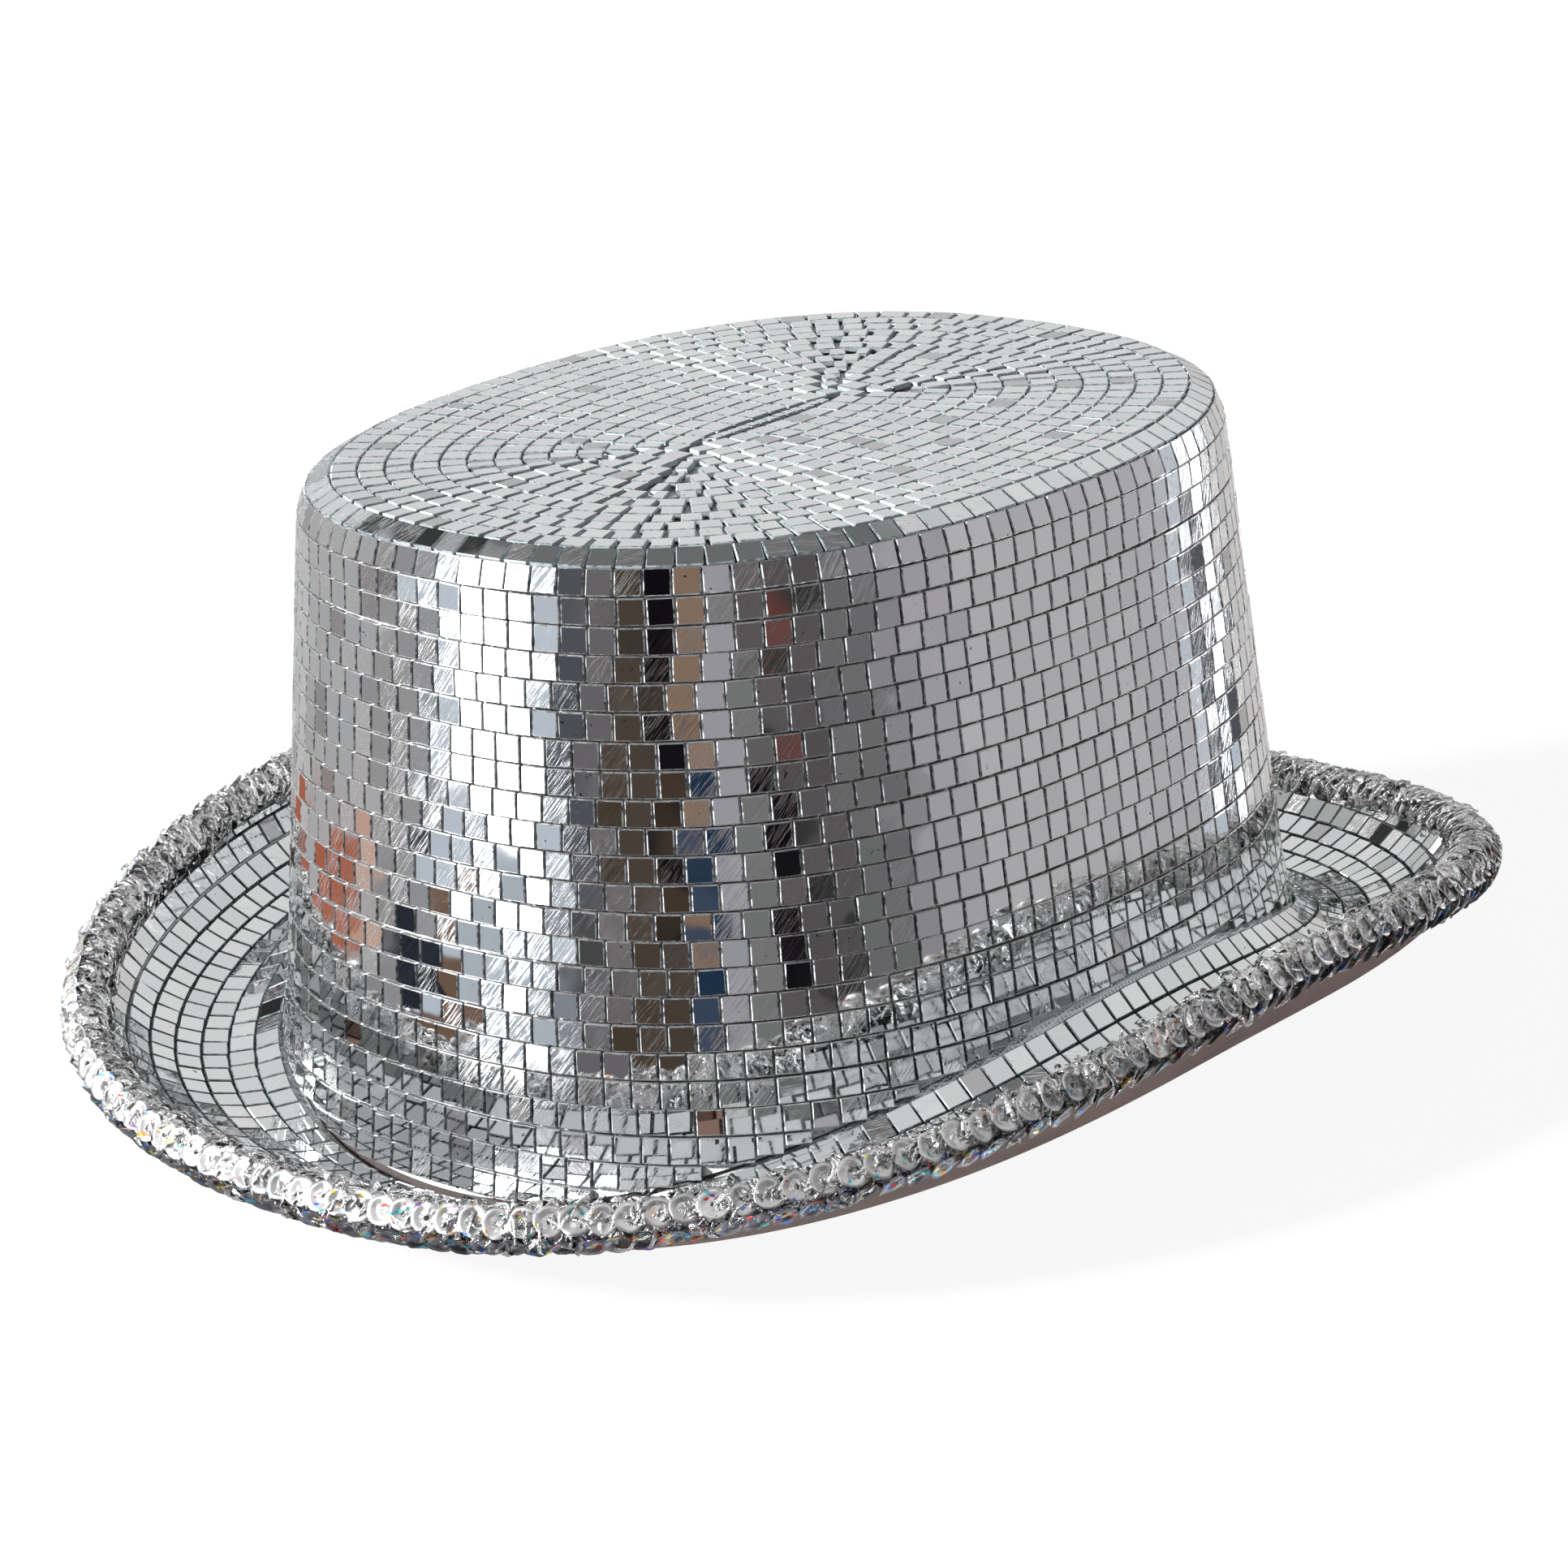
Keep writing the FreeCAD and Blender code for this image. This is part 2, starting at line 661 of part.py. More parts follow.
def tinsel_braid():
    """Core of the crinkled braid, wrapped round the binding."""
    top = TRIM_DEPTH - BODY_DEPTH + TAPE_THICK + 2 * GAP
    bottom = TRIM_DEPTH - FELT_BOTTOM - TAPE_THICK - 2 * GAP
    inner = TAPE_THICK + 4 * GAP
    corners = []
    for degrees in range(160, -121, -20):
        angle = math.radians(degrees)
        out = BRAID_RADIUS * math.cos(angle)
        up = BRAID_RADIUS * math.sin(angle)
        corners.append(lambda t, o=out, u=up: trim(t, o, u))
    corners += [
        lambda t: trim(t, -0.9, bottom),
        lambda t: trim(t, inner, bottom),
        lambda t: trim(t, inner, top),
        lambda t: trim(t, -2.8, top),
    ]
    return ring_solid(corners)


def sequin():
    """Cup sequin with a hole in the middle, its cup opening upwards."""
    profile = [
        Vector(SEQUIN_HOLE, 0, 0),
        Vector(SEQUIN_FLAT, 0, 0),
        Vector(SEQUIN_RADIUS, 0, SEQUIN_CUP),
        Vector(SEQUIN_RADIUS, 0, SEQUIN_CUP + SEQUIN_THICK),
        Vector(SEQUIN_FLAT, 0, SEQUIN_THICK),
        Vector(SEQUIN_HOLE, 0, SEQUIN_THICK),
        Vector(SEQUIN_HOLE, 0, 0),
    ]
    face = Part.Face(Part.makePolygon(profile))
    return face.revolve(Vector(0, 0, 0), Vector(0, 0, 1), 360)


def sequin_row(elevation, phase):
    """Sequins sewn along the outer side of the braid, each leaning on the next."""
    shape = sequin()

    def place(t):
        return trim(t, 0, 0)

    sequins = []
    for t in ring_angles(place, SEQUIN_PITCH, phase):
        along = place(t + 0.004) - place(t - 0.004)
        along = Vector(along.x, along.y, 0).normalize()
        outward = along.cross(Vector(0, 0, 1))
        angle = math.radians(elevation + RANDOM.uniform(-2, 2))
        normal = outward * math.cos(angle) + Vector(0, 0, 1) * math.sin(angle)
        seat = place(t) + normal * (BRAID_RADIUS + 0.4)
        lean = SEQUIN_TILT + RANDOM.uniform(-3, 3)
        along, normal = tilted(along, normal, RANDOM.uniform(-3, 3), lean, 0)
        sequins.append(placed(shape, seat, along, normal))
    return Part.makeCompound(sequins)


# ---------------------------------------------------------------- the hat

def tile_rows():
    """Every row of tiles, by node name."""
    rows = {}
    slope_length = SHOULDER_RISE + SEAM_WAVE
    wall_count = int(slope_length / PITCH) + 1
    for row, phase in enumerate(strip_phases(wall_count)):
        tiles = wall_row(row, phase)
        if tiles:
            rows[f"crown_tiles_row_{row + 1:02d}"] = tiles
    rows["shoulder_tiles"] = shoulder_row()
    rows.update(tip_mosaic())
    for row, phase in enumerate(strip_phases(8)):
        rows[f"brim_tiles_row_{row + 1}"] = brim_row(row, phase)
    return rows


def hat_nodes():
    nodes = {
        "crown_side_body": crown_side_body(),
        "crown_tip_body": crown_tip_body(),
        "tip_joint_tape": tip_joint_tape(),
        "crown_lining_side": crown_lining_side(),
        "crown_lining_tip": crown_lining_tip(),
        "brim_board": brim_board(),
        "brim_under_felt": brim_under_felt(),
        "sweatband": sweatband(),
        "sweatband_join_patch": sweatband_join_patch(),
        "sweatband_stitches": sweatband_stitches(),
        "crown_side_cloth": crown_side_cloth(),
        "shoulder_cloth": shoulder_cloth(),
        "tip_cloth": tip_cloth(),
        "brim_cloth": brim_cloth(),
        "edge_binding": edge_binding(),
        "tinsel_braid": tinsel_braid(),
        "sequins_upper_row": sequin_row(UPPER_ELEVATION, 0.0),
        "sequins_lower_row": sequin_row(LOWER_ELEVATION, 0.5),
    }
    nodes.update(tile_rows())
    return nodes


os.makedirs("parts", exist_ok=True)
for name, shape in hat_nodes().items():
    shape.exportStep(f"parts/{name}.step")
    print(name, len(shape.Solids), "valid" if shape.isValid() else "INVALID", shape.BoundBox)
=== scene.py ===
import math

import bpy
import numpy as np
from mathutils import Matrix, Vector


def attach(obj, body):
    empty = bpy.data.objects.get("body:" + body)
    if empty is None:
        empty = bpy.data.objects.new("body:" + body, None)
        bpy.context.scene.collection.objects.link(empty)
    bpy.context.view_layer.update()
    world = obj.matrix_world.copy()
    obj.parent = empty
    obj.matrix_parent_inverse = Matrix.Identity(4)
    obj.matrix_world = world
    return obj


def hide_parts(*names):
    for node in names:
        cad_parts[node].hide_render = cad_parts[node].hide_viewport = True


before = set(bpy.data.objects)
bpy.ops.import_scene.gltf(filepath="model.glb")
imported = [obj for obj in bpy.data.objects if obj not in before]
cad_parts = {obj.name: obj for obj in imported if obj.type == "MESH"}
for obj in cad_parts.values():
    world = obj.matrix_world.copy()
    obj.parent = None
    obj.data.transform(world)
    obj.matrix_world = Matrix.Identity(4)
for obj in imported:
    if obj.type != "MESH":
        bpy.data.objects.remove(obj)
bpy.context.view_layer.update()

# ---------------------------------------------------------------- sizes of the hat, in millimetres

OVAL_POWER = 2.36       # an ellipse has 2; more is squarer
SEAM_HALF_SHORT = 85.3
SEAM_HALF_LONG = 103.3
SHOULDER_INSET = 12.3
SHOULDER_WIDTH = 4.6
SHOULDER_STEP = 2.4
SHOULDER_RISE = 104.2
TOP_ROW_DROP = 4.8
TOP_ROW_LEAN = 1.75
FLARE = 1.0
FLARE_HEIGHT = 12.0
SEAM_WAVE = 13.4
SEAM_LEVEL = 17.406
EDGE_POWER = 2.45
EDGE_HALF_SHORT = 116.6
EDGE_HALF_LONG = 135.3
EDGE_LIFT = 10.3
EDGE_WAVE = 10.8
EDGE_RIPPLE = 0.8
SAG = 7.0
SAG_WAVE = 4.9
SHOULDER_Z = SEAM_LEVEL + SHOULDER_RISE
TIP_Z = SHOULDER_Z + SHOULDER_STEP

# Depths and insets are measured from the mirrors' faces
CLOTH_DEPTH = 1.40
CLOTH_THICK = 0.25
BODY_DEPTH = 1.70
BOARD_BOTTOM = 3.0
FELT_BOTTOM = 3.85
WALL_INNER = 3.7
TAPE_THICK = 0.5
LINING_THICK = 0.5
LINING_INSET = 4.3
BAND_INSET = 4.85
BAND_THICK = 1.0
BAND_HEIGHT = 34.0
GAP = 0.05
TRIM_DEPTH = 1.9
TAPE_REACH = 2.6       # how far the edge tape reaches in from the trim's centre
BRAID_RADIUS = 3.1
BRAID_TWISTS = 190     # lumps of the braid's core round the hat

# Strips of cloth under the brim's tiles, as shares of its width from the seam to the trim
SEAM_STRIP = (-0.03, 0.07)
BRIM_STRIP = (0.075, 0.795)
TRIM_STRIP = (0.80, 0.91)
WALL_CLOTH_START = 0.25    # millimetres above the seam

HEAD_RADIUS = 92.0     # mean radius of the opening
BAND_SLIT = 0.8        # between the sweatband's two ends
STITCHES = 128
STITCH_HALF = 1.5
STITCH_DROP = 1.2
THREAD_RADIUS = 0.2
PATCH_HALF_WIDTH = 6.5
PATCH_HALF_HEIGHT = 13.3
PATCH_RISE = 14.5      # from the seam up to the patch's middle

# Foil strips of the braid. Angles go round it, in degrees: 0 is outwards, 90 up, 180 inwards.
STRIPS_IN_QUARTER = 3600
STRIP_ANGLES = (-112, 178)
SPLAY_FROM = 126.0     # beyond this angle the strips splay over the last tiles
SPLAY_WIDTH = 14.0
TOP_ANGLE = 70.0
TOP_SPREAD = 35.0
FAR_SIDE = math.radians(125)    # plan angle of the side away from the camera, where foil stands high
LOOSE_SHARE = 0.13

MILLIMETRE = 0.001
TURN = 2 * math.pi

# Sizes of the looks, in metres
WALL_RADIUS = 0.09
CUT_EDGE_WIDTH = 0.0002
WELD_DISTANCE = 0.000002

WIPE_ANGLE = 55.0                   # slant of the scratches on the glass, in degrees
HAIRLINES = (220.0, 5200.0, 1.0)    # their number to a metre, along the slant and across it
WALL_LEAN = 0.065                   # how far the wall's face looks up


# ---------------------------------------------------------------- shape of the hat

def unit(vectors):
    return vectors / np.linalg.norm(vectors, axis=-1, keepdims=True)


def oval(t, half_short, half_long, power=OVAL_POWER):
    """Outline of the hat seen from above, at stretched angles t."""
    c, s = np.cos(t), np.sin(t)
    reach = (np.abs(c) ** power + np.abs(s) ** power) ** (1.0 / power)
    return half_short * c / reach, half_long * s / reach


def point(x, y, z):
    return np.stack(np.broadcast_arrays(x, y, z), axis=-1)


def seam_z(t):
    return SEAM_LEVEL + SEAM_WAVE * np.cos(2 * t)


def edge_z(t):
    return SEAM_LEVEL + EDGE_LIFT + EDGE_WAVE * np.cos(2 * t) + EDGE_RIPPLE * np.cos(4 * t)


def wall_spread(drop, half_at_seam, seam_drop):
    lean = TOP_ROW_LEAN * np.minimum(drop, TOP_ROW_DROP) / TOP_ROW_DROP
    slope = (SHOULDER_INSET - TOP_ROW_LEAN - FLARE) / (seam_drop - TOP_ROW_DROP)
    return half_at_seam - SHOULDER_INSET + lean + slope * np.maximum(0.0, drop - TOP_ROW_DROP)


def wall(t, z, inset=0.0):
    """Points of the crown's wall at height z, moved inwards by inset."""
    drop = SHOULDER_Z - z
    half_short = wall_spread(drop, SEAM_HALF_SHORT, SHOULDER_RISE - SEAM_WAVE)
    half_long = wall_spread(drop, SEAM_HALF_LONG, SHOULDER_RISE + SEAM_WAVE)
    foot = np.maximum(0.0, 1.0 - np.maximum(0.0, z - seam_z(t)) / FLARE_HEIGHT)
    spread = FLARE * foot ** 2 - inset
    x, y = oval(t, half_short + spread, half_long + spread)
    return point(x, y, z)


def tip_edge(t, inset, z):
    shrink = SHOULDER_INSET + SHOULDER_WIDTH + inset
    x, y = oval(t, SEAM_HALF_SHORT - shrink, SEAM_HALF_LONG - shrink)
    return point(x, y, z)


def brim_face(t, v):
    """Points of the brim's mirror faces: v is 0 at the seam and 1 at the trim's centre."""
    blend = OVAL_POWER + (EDGE_POWER - OVAL_POWER) * v
    half_short = SEAM_HALF_SHORT + (EDGE_HALF_SHORT - SEAM_HALF_SHORT) * v
    half_long = SEAM_HALF_LONG + (EDGE_HALF_LONG - SEAM_HALF_LONG) * v
    x, y = oval(t, half_short, half_long, blend)
    hang = (SAG + SAG_WAVE * np.cos(2 * t)) * 4.0 * v * (1.0 - v)
    return point(x, y, seam_z(t) + (edge_z(t) - seam_z(t)) * v - hang)


def brim_frame(t, v):
    """Directions on the brim: along the ring, outwards across it, and its upward normal."""
    along = unit(brim_face(t + 0.004, v) - brim_face(t - 0.004, v))
    across = unit(brim_face(t, v + 0.004) - brim_face(t, v - 0.004))
    return along, across, unit(np.cross(across, along))


def brim(t, v, depth):
    return brim_face(t, v) - brim_frame(t, v)[2] * np.asarray(depth)[..., None]


def trim(t, out, up):
    """Points near the brim's edge: out from the trim's centre, and up along the brim's normal."""
    speed = np.linalg.norm(brim_face(t, 1.01) - brim_face(t, 0.99), axis=-1) / 0.02
    return brim(t, 1.0 + out / speed, TRIM_DEPTH - up)


# ---------------------------------------------------------------- meshes

def add_piece(name, vertices, faces, material, slot, stands_for=(), crease=None):
    """A mesh object from points in millimetres; it rides on the hat's one body."""
    mesh = bpy.data.meshes.new(name)
    mesh.from_pydata(np.asarray(vertices) * MILLIMETRE, [], [[int(i) for i in face] for face in faces])
    if crease is not None:
        mesh.shade_smooth()
        mesh.set_sharp_from_angle(angle=math.radians(crease))
    mesh.materials.append(material)
    piece = bpy.data.objects.new(name, mesh)
    bpy.context.scene.collection.objects.link(piece)
    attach(piece, "root")
    if stands_for:
        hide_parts(*stands_for)
    return piece


def grid_faces(rows, columns, wrap_rows, wrap_columns):
    """Quads of a grid of points; either direction may close on itself."""
    i = np.arange(rows if wrap_rows else rows - 1)[:, None]
    j = np.arange(columns if wrap_columns else columns - 1)[None, :]
    after_i = (i + 1) % rows
    after_j = (j + 1) % columns
    corners = [i * columns + j, i * columns + after_j, after_i * columns + after_j, after_i * columns + j]
    return np.stack(np.broadcast_arrays(*corners), axis=-1).reshape(-1, 4)


def ring_piece(name, section, material, slot, stands_for, count=360, crease=40.0):
    """A closed ring; section(t) gives the cross-section's points, in order, for all angles t."""
    t = np.arange(count) / count * TURN
    points = np.stack([np.asarray(corner) for corner in section(t)])
    faces = grid_faces(points.shape[0], count, True, True)
    return add_piece(name, points.reshape(-1, 3), faces, material, slot, stands_for, crease)


def ripple(t, seed, waves, height):
    """Gentle unevenness round the ring: a few sine waves with random phases."""
    random = np.random.default_rng(seed)
    total = np.zeros_like(t)
    for count in waves:
        total = total + np.sin(count * t + random.uniform(0, TURN)) / len(waves)
    return height * total


# ---------------------------------------------------------------- shader nodes

class Graph:
    """A node tree built by short calls; every call returns a socket or a node."""

    def __init__(self, tree):
        self.tree = tree

    def node(self, kind, inputs=None, **settings):
        made = self.tree.nodes.new("ShaderNode" + kind)
        for name, value in settings.items():
            setattr(made, name, value)
        for key, value in (inputs or {}).items():
            self.feed(made.inputs[key], value)
        return made

    def feed(self, socket, value):
        if isinstance(value, bpy.types.NodeSocket):
            self.tree.links.new(value, socket)
        else:
            socket.default_value = value

    def math(self, operation, a, b=0.0, c=0.0):
        made = self.node("Math", {0: a, 1: b, 2: c}, operation=operation)
        return made.outputs[0]

    def vector(self, operation, a, b=(0, 0, 0)):
        return self.node("VectorMath", {0: a, 1: b}, operation=operation).outputs["Vector"]

    def dot(self, a, b):
        made = self.node("VectorMath", {0: a, 1: b}, operation="DOT_PRODUCT")
        return made.outputs["Value"]

    def scaled(self, vector, factor):
        made = self.node("VectorMath", {0: vector, "Scale": factor}, operation="SCALE")
        return made.outputs["Vector"]

    def step(self, value, low, high, to_low=0.0, to_high=1.0):
        """value between low and high, mapped smoothly to between to_low and to_high."""
        made = self.node("MapRange", {0: value, 1: low, 2: high, 3: to_low, 4: to_high},
                         interpolation_type="SMOOTHSTEP")
        return made.outputs[0]

    def mix(self, factor, a, b):
        return self.node("Mix", {0: factor, 6: a, 7: b}, data_type="RGBA").outputs[2]

    def noise(self, place, scale, detail=2.0, roughness=0.5):
        return self.node("TexNoise", {"Vector": place, "Scale": scale, "Detail": detail,
                                      "Roughness": roughness})

    def bump(self, height, distance, strength=1.0):
        made = self.node("Bump", {"Height": height, "Distance": distance, "Strength": strength})
        return made.outputs[0]


def bands(graph, value, stops, span):
    """Flat colours by value, from 0 to span, each up to where the next begins."""
    ramp = graph.node("ValToRGB", {0: value})
    ramp.color_ramp.interpolation = "CONSTANT"
    elements = ramp.color_ramp.elements
    elements.remove(elements[1])
    elements[0].position = 0.0
    elements[0].color = stops[0][1]
    for start, colour in stops[1:]:
        elements.new(start / span).color = colour
    return ramp.outputs[0]


class Finish(Graph):
    """A material: its principled shader, and where each point of the piece is."""

    def __init__(self, name):
        self.material = bpy.data.materials.new(name)
        self.material.use_nodes = True
        super().__init__(self.material.node_tree)
        self.shader = self.tree.nodes["Principled BSDF"]
        self.place = self.node("TexCoord").outputs["Object"]
        self.geometry = self.node("NewGeometry").outputs

    def set(self, **values):
        for name, value in values.items():
            self.feed(self.shader.inputs[name.replace("_", " ")], value)


def grey(level):
    return (level, level, level, 1.0)


# ---------------------------------------------------------------- materials

def outward(finish):
    """Level direction that the crown's wall faces at each point, from the hat's oval plan."""
    return finish.vector("NORMALIZE", finish.vector("MULTIPLY", finish.place, (1.0, 0.70, 0.0)))


def brushed(finish, kind, offset):
    """Coordinates stretched along the slanting way that the glass was wiped: fine across it, long
    along it. On the wall they're measured round and up the wall, elsewhere in plan."""
    x, y, z = finish.node("SeparateXYZ", {0: finish.place}).outputs
    if kind == "wall":
        round_wall = finish.math("MULTIPLY", finish.math("ARCTAN2", y, x), WALL_RADIUS)
        plane = finish.node("CombineXYZ", {0: round_wall, 1: z}).outputs[0]
    else:
        plane = finish.node("CombineXYZ", {0: x, 1: y}).outputs[0]
    turned = finish.node("Mapping", {"Vector": plane, "Rotation": (0, 0, math.radians(-WIPE_ANGLE))})
    stretched = finish.vector("MULTIPLY", turned.outputs[0], HAIRLINES)
    return finish.vector("ADD", stretched, finish.node("CombineXYZ", {
        2: finish.math("MULTIPLY", offset, 40.0)}).outputs[0])


def mirror_glass(name, kind):
    """Silvered glass. kind: "wall" tiles face outwards, "tip" tiles face up, "brim" tiles vary."""
    finish = Finish(name)
    place = finish.place
    lottery = finish.node("TexWhiteNoise", {"W": finish.geometry["Random Per Island"]},
                          noise_dimensions="1D").outputs["Color"]
    chance = finish.node("SeparateColor", {"Color": lottery}).outputs
    normal = finish.geometry["True Normal"]

    hairlines = finish.noise(brushed(finish, kind, chance[0]), 1.0, 2.0, 0.6).outputs["Fac"]
    scratched = finish.step(chance[1], 0.1, 0.9)
    scratches = finish.math("MULTIPLY", finish.step(hairlines, 0.46, 0.62), scratched)
    specks = finish.step(finish.noise(place, 900, 2.0).outputs["Fac"], 0.69, 0.75)
    wear = finish.math("MULTIPLY", specks, finish.step(chance[0], 0.80, 0.86))

    silver = finish.mix(chance[1], (0.80, 0.82, 0.83, 1), (0.92, 0.925, 0.93, 1))
    silver = finish.mix(finish.step(chance[2], 0.950, 0.951), silver, (0.55, 0.54, 0.55, 1))
    if kind == "wall":
        silver = finish.mix(finish.step(chance[2], 0.990, 0.991), silver, (0.40, 0.25, 0.20, 1))
    silver = finish.mix(wear, silver, (0.16, 0.16, 0.17, 1))

    waves = finish.vector("SUBTRACT", finish.noise(place, 140, 1.0).outputs["Color"], (0.5, 0.5, 0.5))
    warp = finish.math("MULTIPLY_ADD", finish.math("POWER", chance[0], 5.0), 0.030, 0.006)
    bent = finish.vector("NORMALIZE", finish.vector("ADD", normal, finish.scaled(waves, warp)))

    roughness = finish.math("MULTIPLY_ADD", scratches, 0.24, finish.math(
        "MULTIPLY_ADD", chance[2], 0.025, 0.015))
    if kind == "brim":
        finish.set(Base_Color=silver, Metallic=1.0, Roughness=roughness, Normal=bent)
        return finish.material

    facing = finish.dot(normal, outward(finish) if kind == "wall" else (0.0, 0.0, 1.0))
    side = finish.step(facing, 0.62, 0.52)
    # The tiles' side faces. The wall's are coloured darker than the tip's: painted shade deep in its
    # joints.
    if kind == "wall":
        edge = finish.mix(chance[0], (0.06, 0.065, 0.07, 1), (0.20, 0.215, 0.22, 1))
    else:
        edge = finish.mix(chance[0], (0.20, 0.22, 0.225, 1), (0.42, 0.45, 0.46, 1))
    finish.set(Base_Color=finish.mix(side, silver, edge),
               Metallic=finish.math("SUBTRACT", 1.0, side),
               Roughness=finish.math("MULTIPLY_ADD", side, 0.3, roughness),
               Normal=bent)
    return finish.material


def cut_edge(name, dark, pale):
    """The snapped edge of a glass tile, clear in patches and bright in others."""
    finish = Finish(name)
    patches = finish.noise(finish.place, 800, 3.0).outputs["Fac"]
    finish.set(Base_Color=finish.mix(finish.step(patches, 0.38, 0.60), dark, pale),
               Roughness=finish.step(patches, 0.3, 0.7, 0.15, 0.5),
               Coat_Weight=1.0, Coat_Roughness=0.05)
    return finish.material


def wall_edge(name, dark, pale):
    """Edges of the wall's tiles. Those beside an upright joint are deep and rough, and take light
    from the side. Those along the rows are nearly flush, and go on mirroring like the face."""
    finish = Finish(name)
    patches = finish.noise(finish.place, 800, 3.0).outputs["Fac"]
    normal = finish.geometry["True Normal"]
    facing = outward(finish)
    rise = finish.math("ABSOLUTE", finish.node("SeparateXYZ", {0: normal}).outputs[2])
    flush = finish.step(rise, 0.35, 0.60)
    sideways = finish.vector("SUBTRACT", normal, finish.scaled(facing, finish.dot(normal, facing)))
    wall_normal = finish.vector("NORMALIZE", finish.vector("ADD", facing, (0.0, 0.0, WALL_LEAN)))
    turned = finish.vector("ADD", finish.scaled(sideways, finish.math("SUBTRACT", 1.0, flush)),
                           finish.scaled(wall_normal, flush))
    tint = finish.mix(finish.step(patches, 0.38, 0.60), dark, pale)
    finish.set(Base_Color=finish.mix(flush, tint, grey(0.70)), Metallic=finish.math("MULTIPLY", flush, 0.9),
               Roughness=finish.step(patches, 0.3, 0.7, 0.15, 0.45),
               Normal=finish.vector("NORMALIZE", turned),
               Coat_Weight=1.0, Coat_IOR=1.7, Coat_Roughness=0.08, Coat_Normal=wall_normal)
    return finish.material


def foil(name, shade, roughness):
    """Crinkled metallic foil of the braid."""
    finish = Finish(name)
    chance = finish.geometry["Random Per Island"]
    crinkle = finish.noise(finish.place, 1400, 3.0, 0.6).outputs["Fac"]
    tone = finish.mix(chance, grey(shade * 0.38), grey(shade))
    # Pale on the crinkles' crests and dark in their hollows: painted highlight and painted shade.
    tone = finish.mix(finish.step(crinkle, 0.58, 0.68), tone, (0.90, 0.91, 0.95, 1))
    tone = finish.mix(finish.step(crinkle, 0.40, 0.30), tone, (0.14, 0.135, 0.15, 1))
    finish.set(Base_Color=tone, Metallic=1.0,
               Roughness=finish.step(crinkle, 0.3, 0.7, roughness, roughness * 2.2),
               Normal=finish.bump(crinkle, 0.0005, 0.8))
    return finish.material


FLECKS = [(0.0, (0.75, 0.08, 0.06, 1)), (0.15, (0.85, 0.40, 0.08, 1)), (0.30, (0.85, 0.75, 0.15, 1)),
          (0.45, (0.08, 0.60, 0.65, 1)), (0.65, (0.04, 0.22, 0.75, 1)), (0.90, (0.35, 0.10, 0.55, 1))]


def sequin_film(name, dark, light, flecked, facets):
    """Silvery cup sequins. A share of their tiny pressed facets, flecked, throws back one colour.
    facets is how many there are to a metre, across and along the film and through it."""
    finish = Finish(name)
    chance = finish.geometry["Random Per Island"]
    stretched = finish.node("Mapping", {"Vector": finish.place, "Rotation": (0.3, 0.2, 0.4),
                                        "Scale": facets}).outputs[0]
    cells = finish.node("TexVoronoi", {"Vector": stretched, "Scale": 1.0}).outputs["Color"]
    parts = finish.node("SeparateColor", {"Color": cells}).outputs
    hue = bands(finish, parts[0], FLECKS, 1.0)
    silver = finish.mix(chance, dark, light)
    fleck = finish.math("MULTIPLY", finish.step(parts[1], 1.0 - flecked, 1.0 - flecked + 0.01), 0.9)
    smooth = finish.noise(finish.place, 260, 2.0).outputs["Fac"]
    finish.set(Base_Color=finish.mix(fleck, silver, hue), Metallic=0.95,
               Roughness=finish.step(smooth, 0.3, 0.7, 0.36, 0.50),
               Normal=finish.bump(smooth, 0.0005, 0.15), Coat_Weight=0.7, Coat_Roughness=0.04)
    return finish.material


def felt(name, dark, light, fuzz):
    """Pressed felt: matted fibres, soft cloudy colour."""
    finish = Finish(name)
    clouds = finish.noise(finish.place, 60, 4.0, 0.6).outputs["Fac"]
    fibres = finish.noise(finish.place, 2200, 5.0, 0.75).outputs["Fac"]
    tone = finish.mix(finish.step(clouds, 0.3, 0.7), dark, light)
    tone = finish.mix(finish.step(fibres, 0.55, 0.75), tone, fuzz)
    finish.set(Base_Color=tone, Roughness=finish.step(fibres, 0.3, 0.7, 0.85, 1.0),
               Sheen_Weight=0.08, Sheen_Roughness=0.6,
               Normal=finish.bump(fibres, 0.0004, 0.8))
    return finish.material


def woven(name, thread, shadow, scale, sheen, roughness=0.8, metallic=0.0):
    """Plain-woven cloth: two crossing sets of threads."""
    finish = Finish(name)
    height = None
    for axis in ("X", "Y", "Z"):
        lines = finish.node("TexWave", {"Vector": finish.place, "Scale": scale, "Distortion": 0.6,
                                        "Detail": 1.0}, bands_direction=axis).outputs["Fac"]
        height = lines if height is None else finish.math("MAXIMUM", height, lines)
    patches = finish.noise(finish.place, 90, 3.0).outputs["Fac"]
    tone = finish.mix(finish.step(height, 0.3, 0.9), shadow, thread)
    tone = finish.mix(finish.math("MULTIPLY", patches, 0.35), tone, shadow)
    finish.set(Base_Color=tone, Roughness=finish.step(height, 0.2, 0.9, roughness, roughness * 0.85),
               Metallic=metallic, Sheen_Weight=sheen, Normal=finish.bump(height, 0.0002, 0.7))
    return finish.material


WALL_GLASS = mirror_glass("mirror_glass_wall", "wall")
TIP_GLASS = mirror_glass("mirror_glass_tip", "tip")
BRIM_GLASS = mirror_glass("mirror_glass_brim", "brim")
EDGE_WALL = wall_edge("cut_edge_wall", (0.055, 0.052, 0.058, 1), (0.50, 0.52, 0.53, 1))
# Edges of the tip's and the brim's tiles: a darker copy of the cut edge, painted shade in their deep,
# narrow gaps.
EDGE_LEVEL_SHADED = cut_edge("cut_edge_level_shaded", (0.05, 0.065, 0.070, 1), (0.15, 0.175, 0.185, 1))
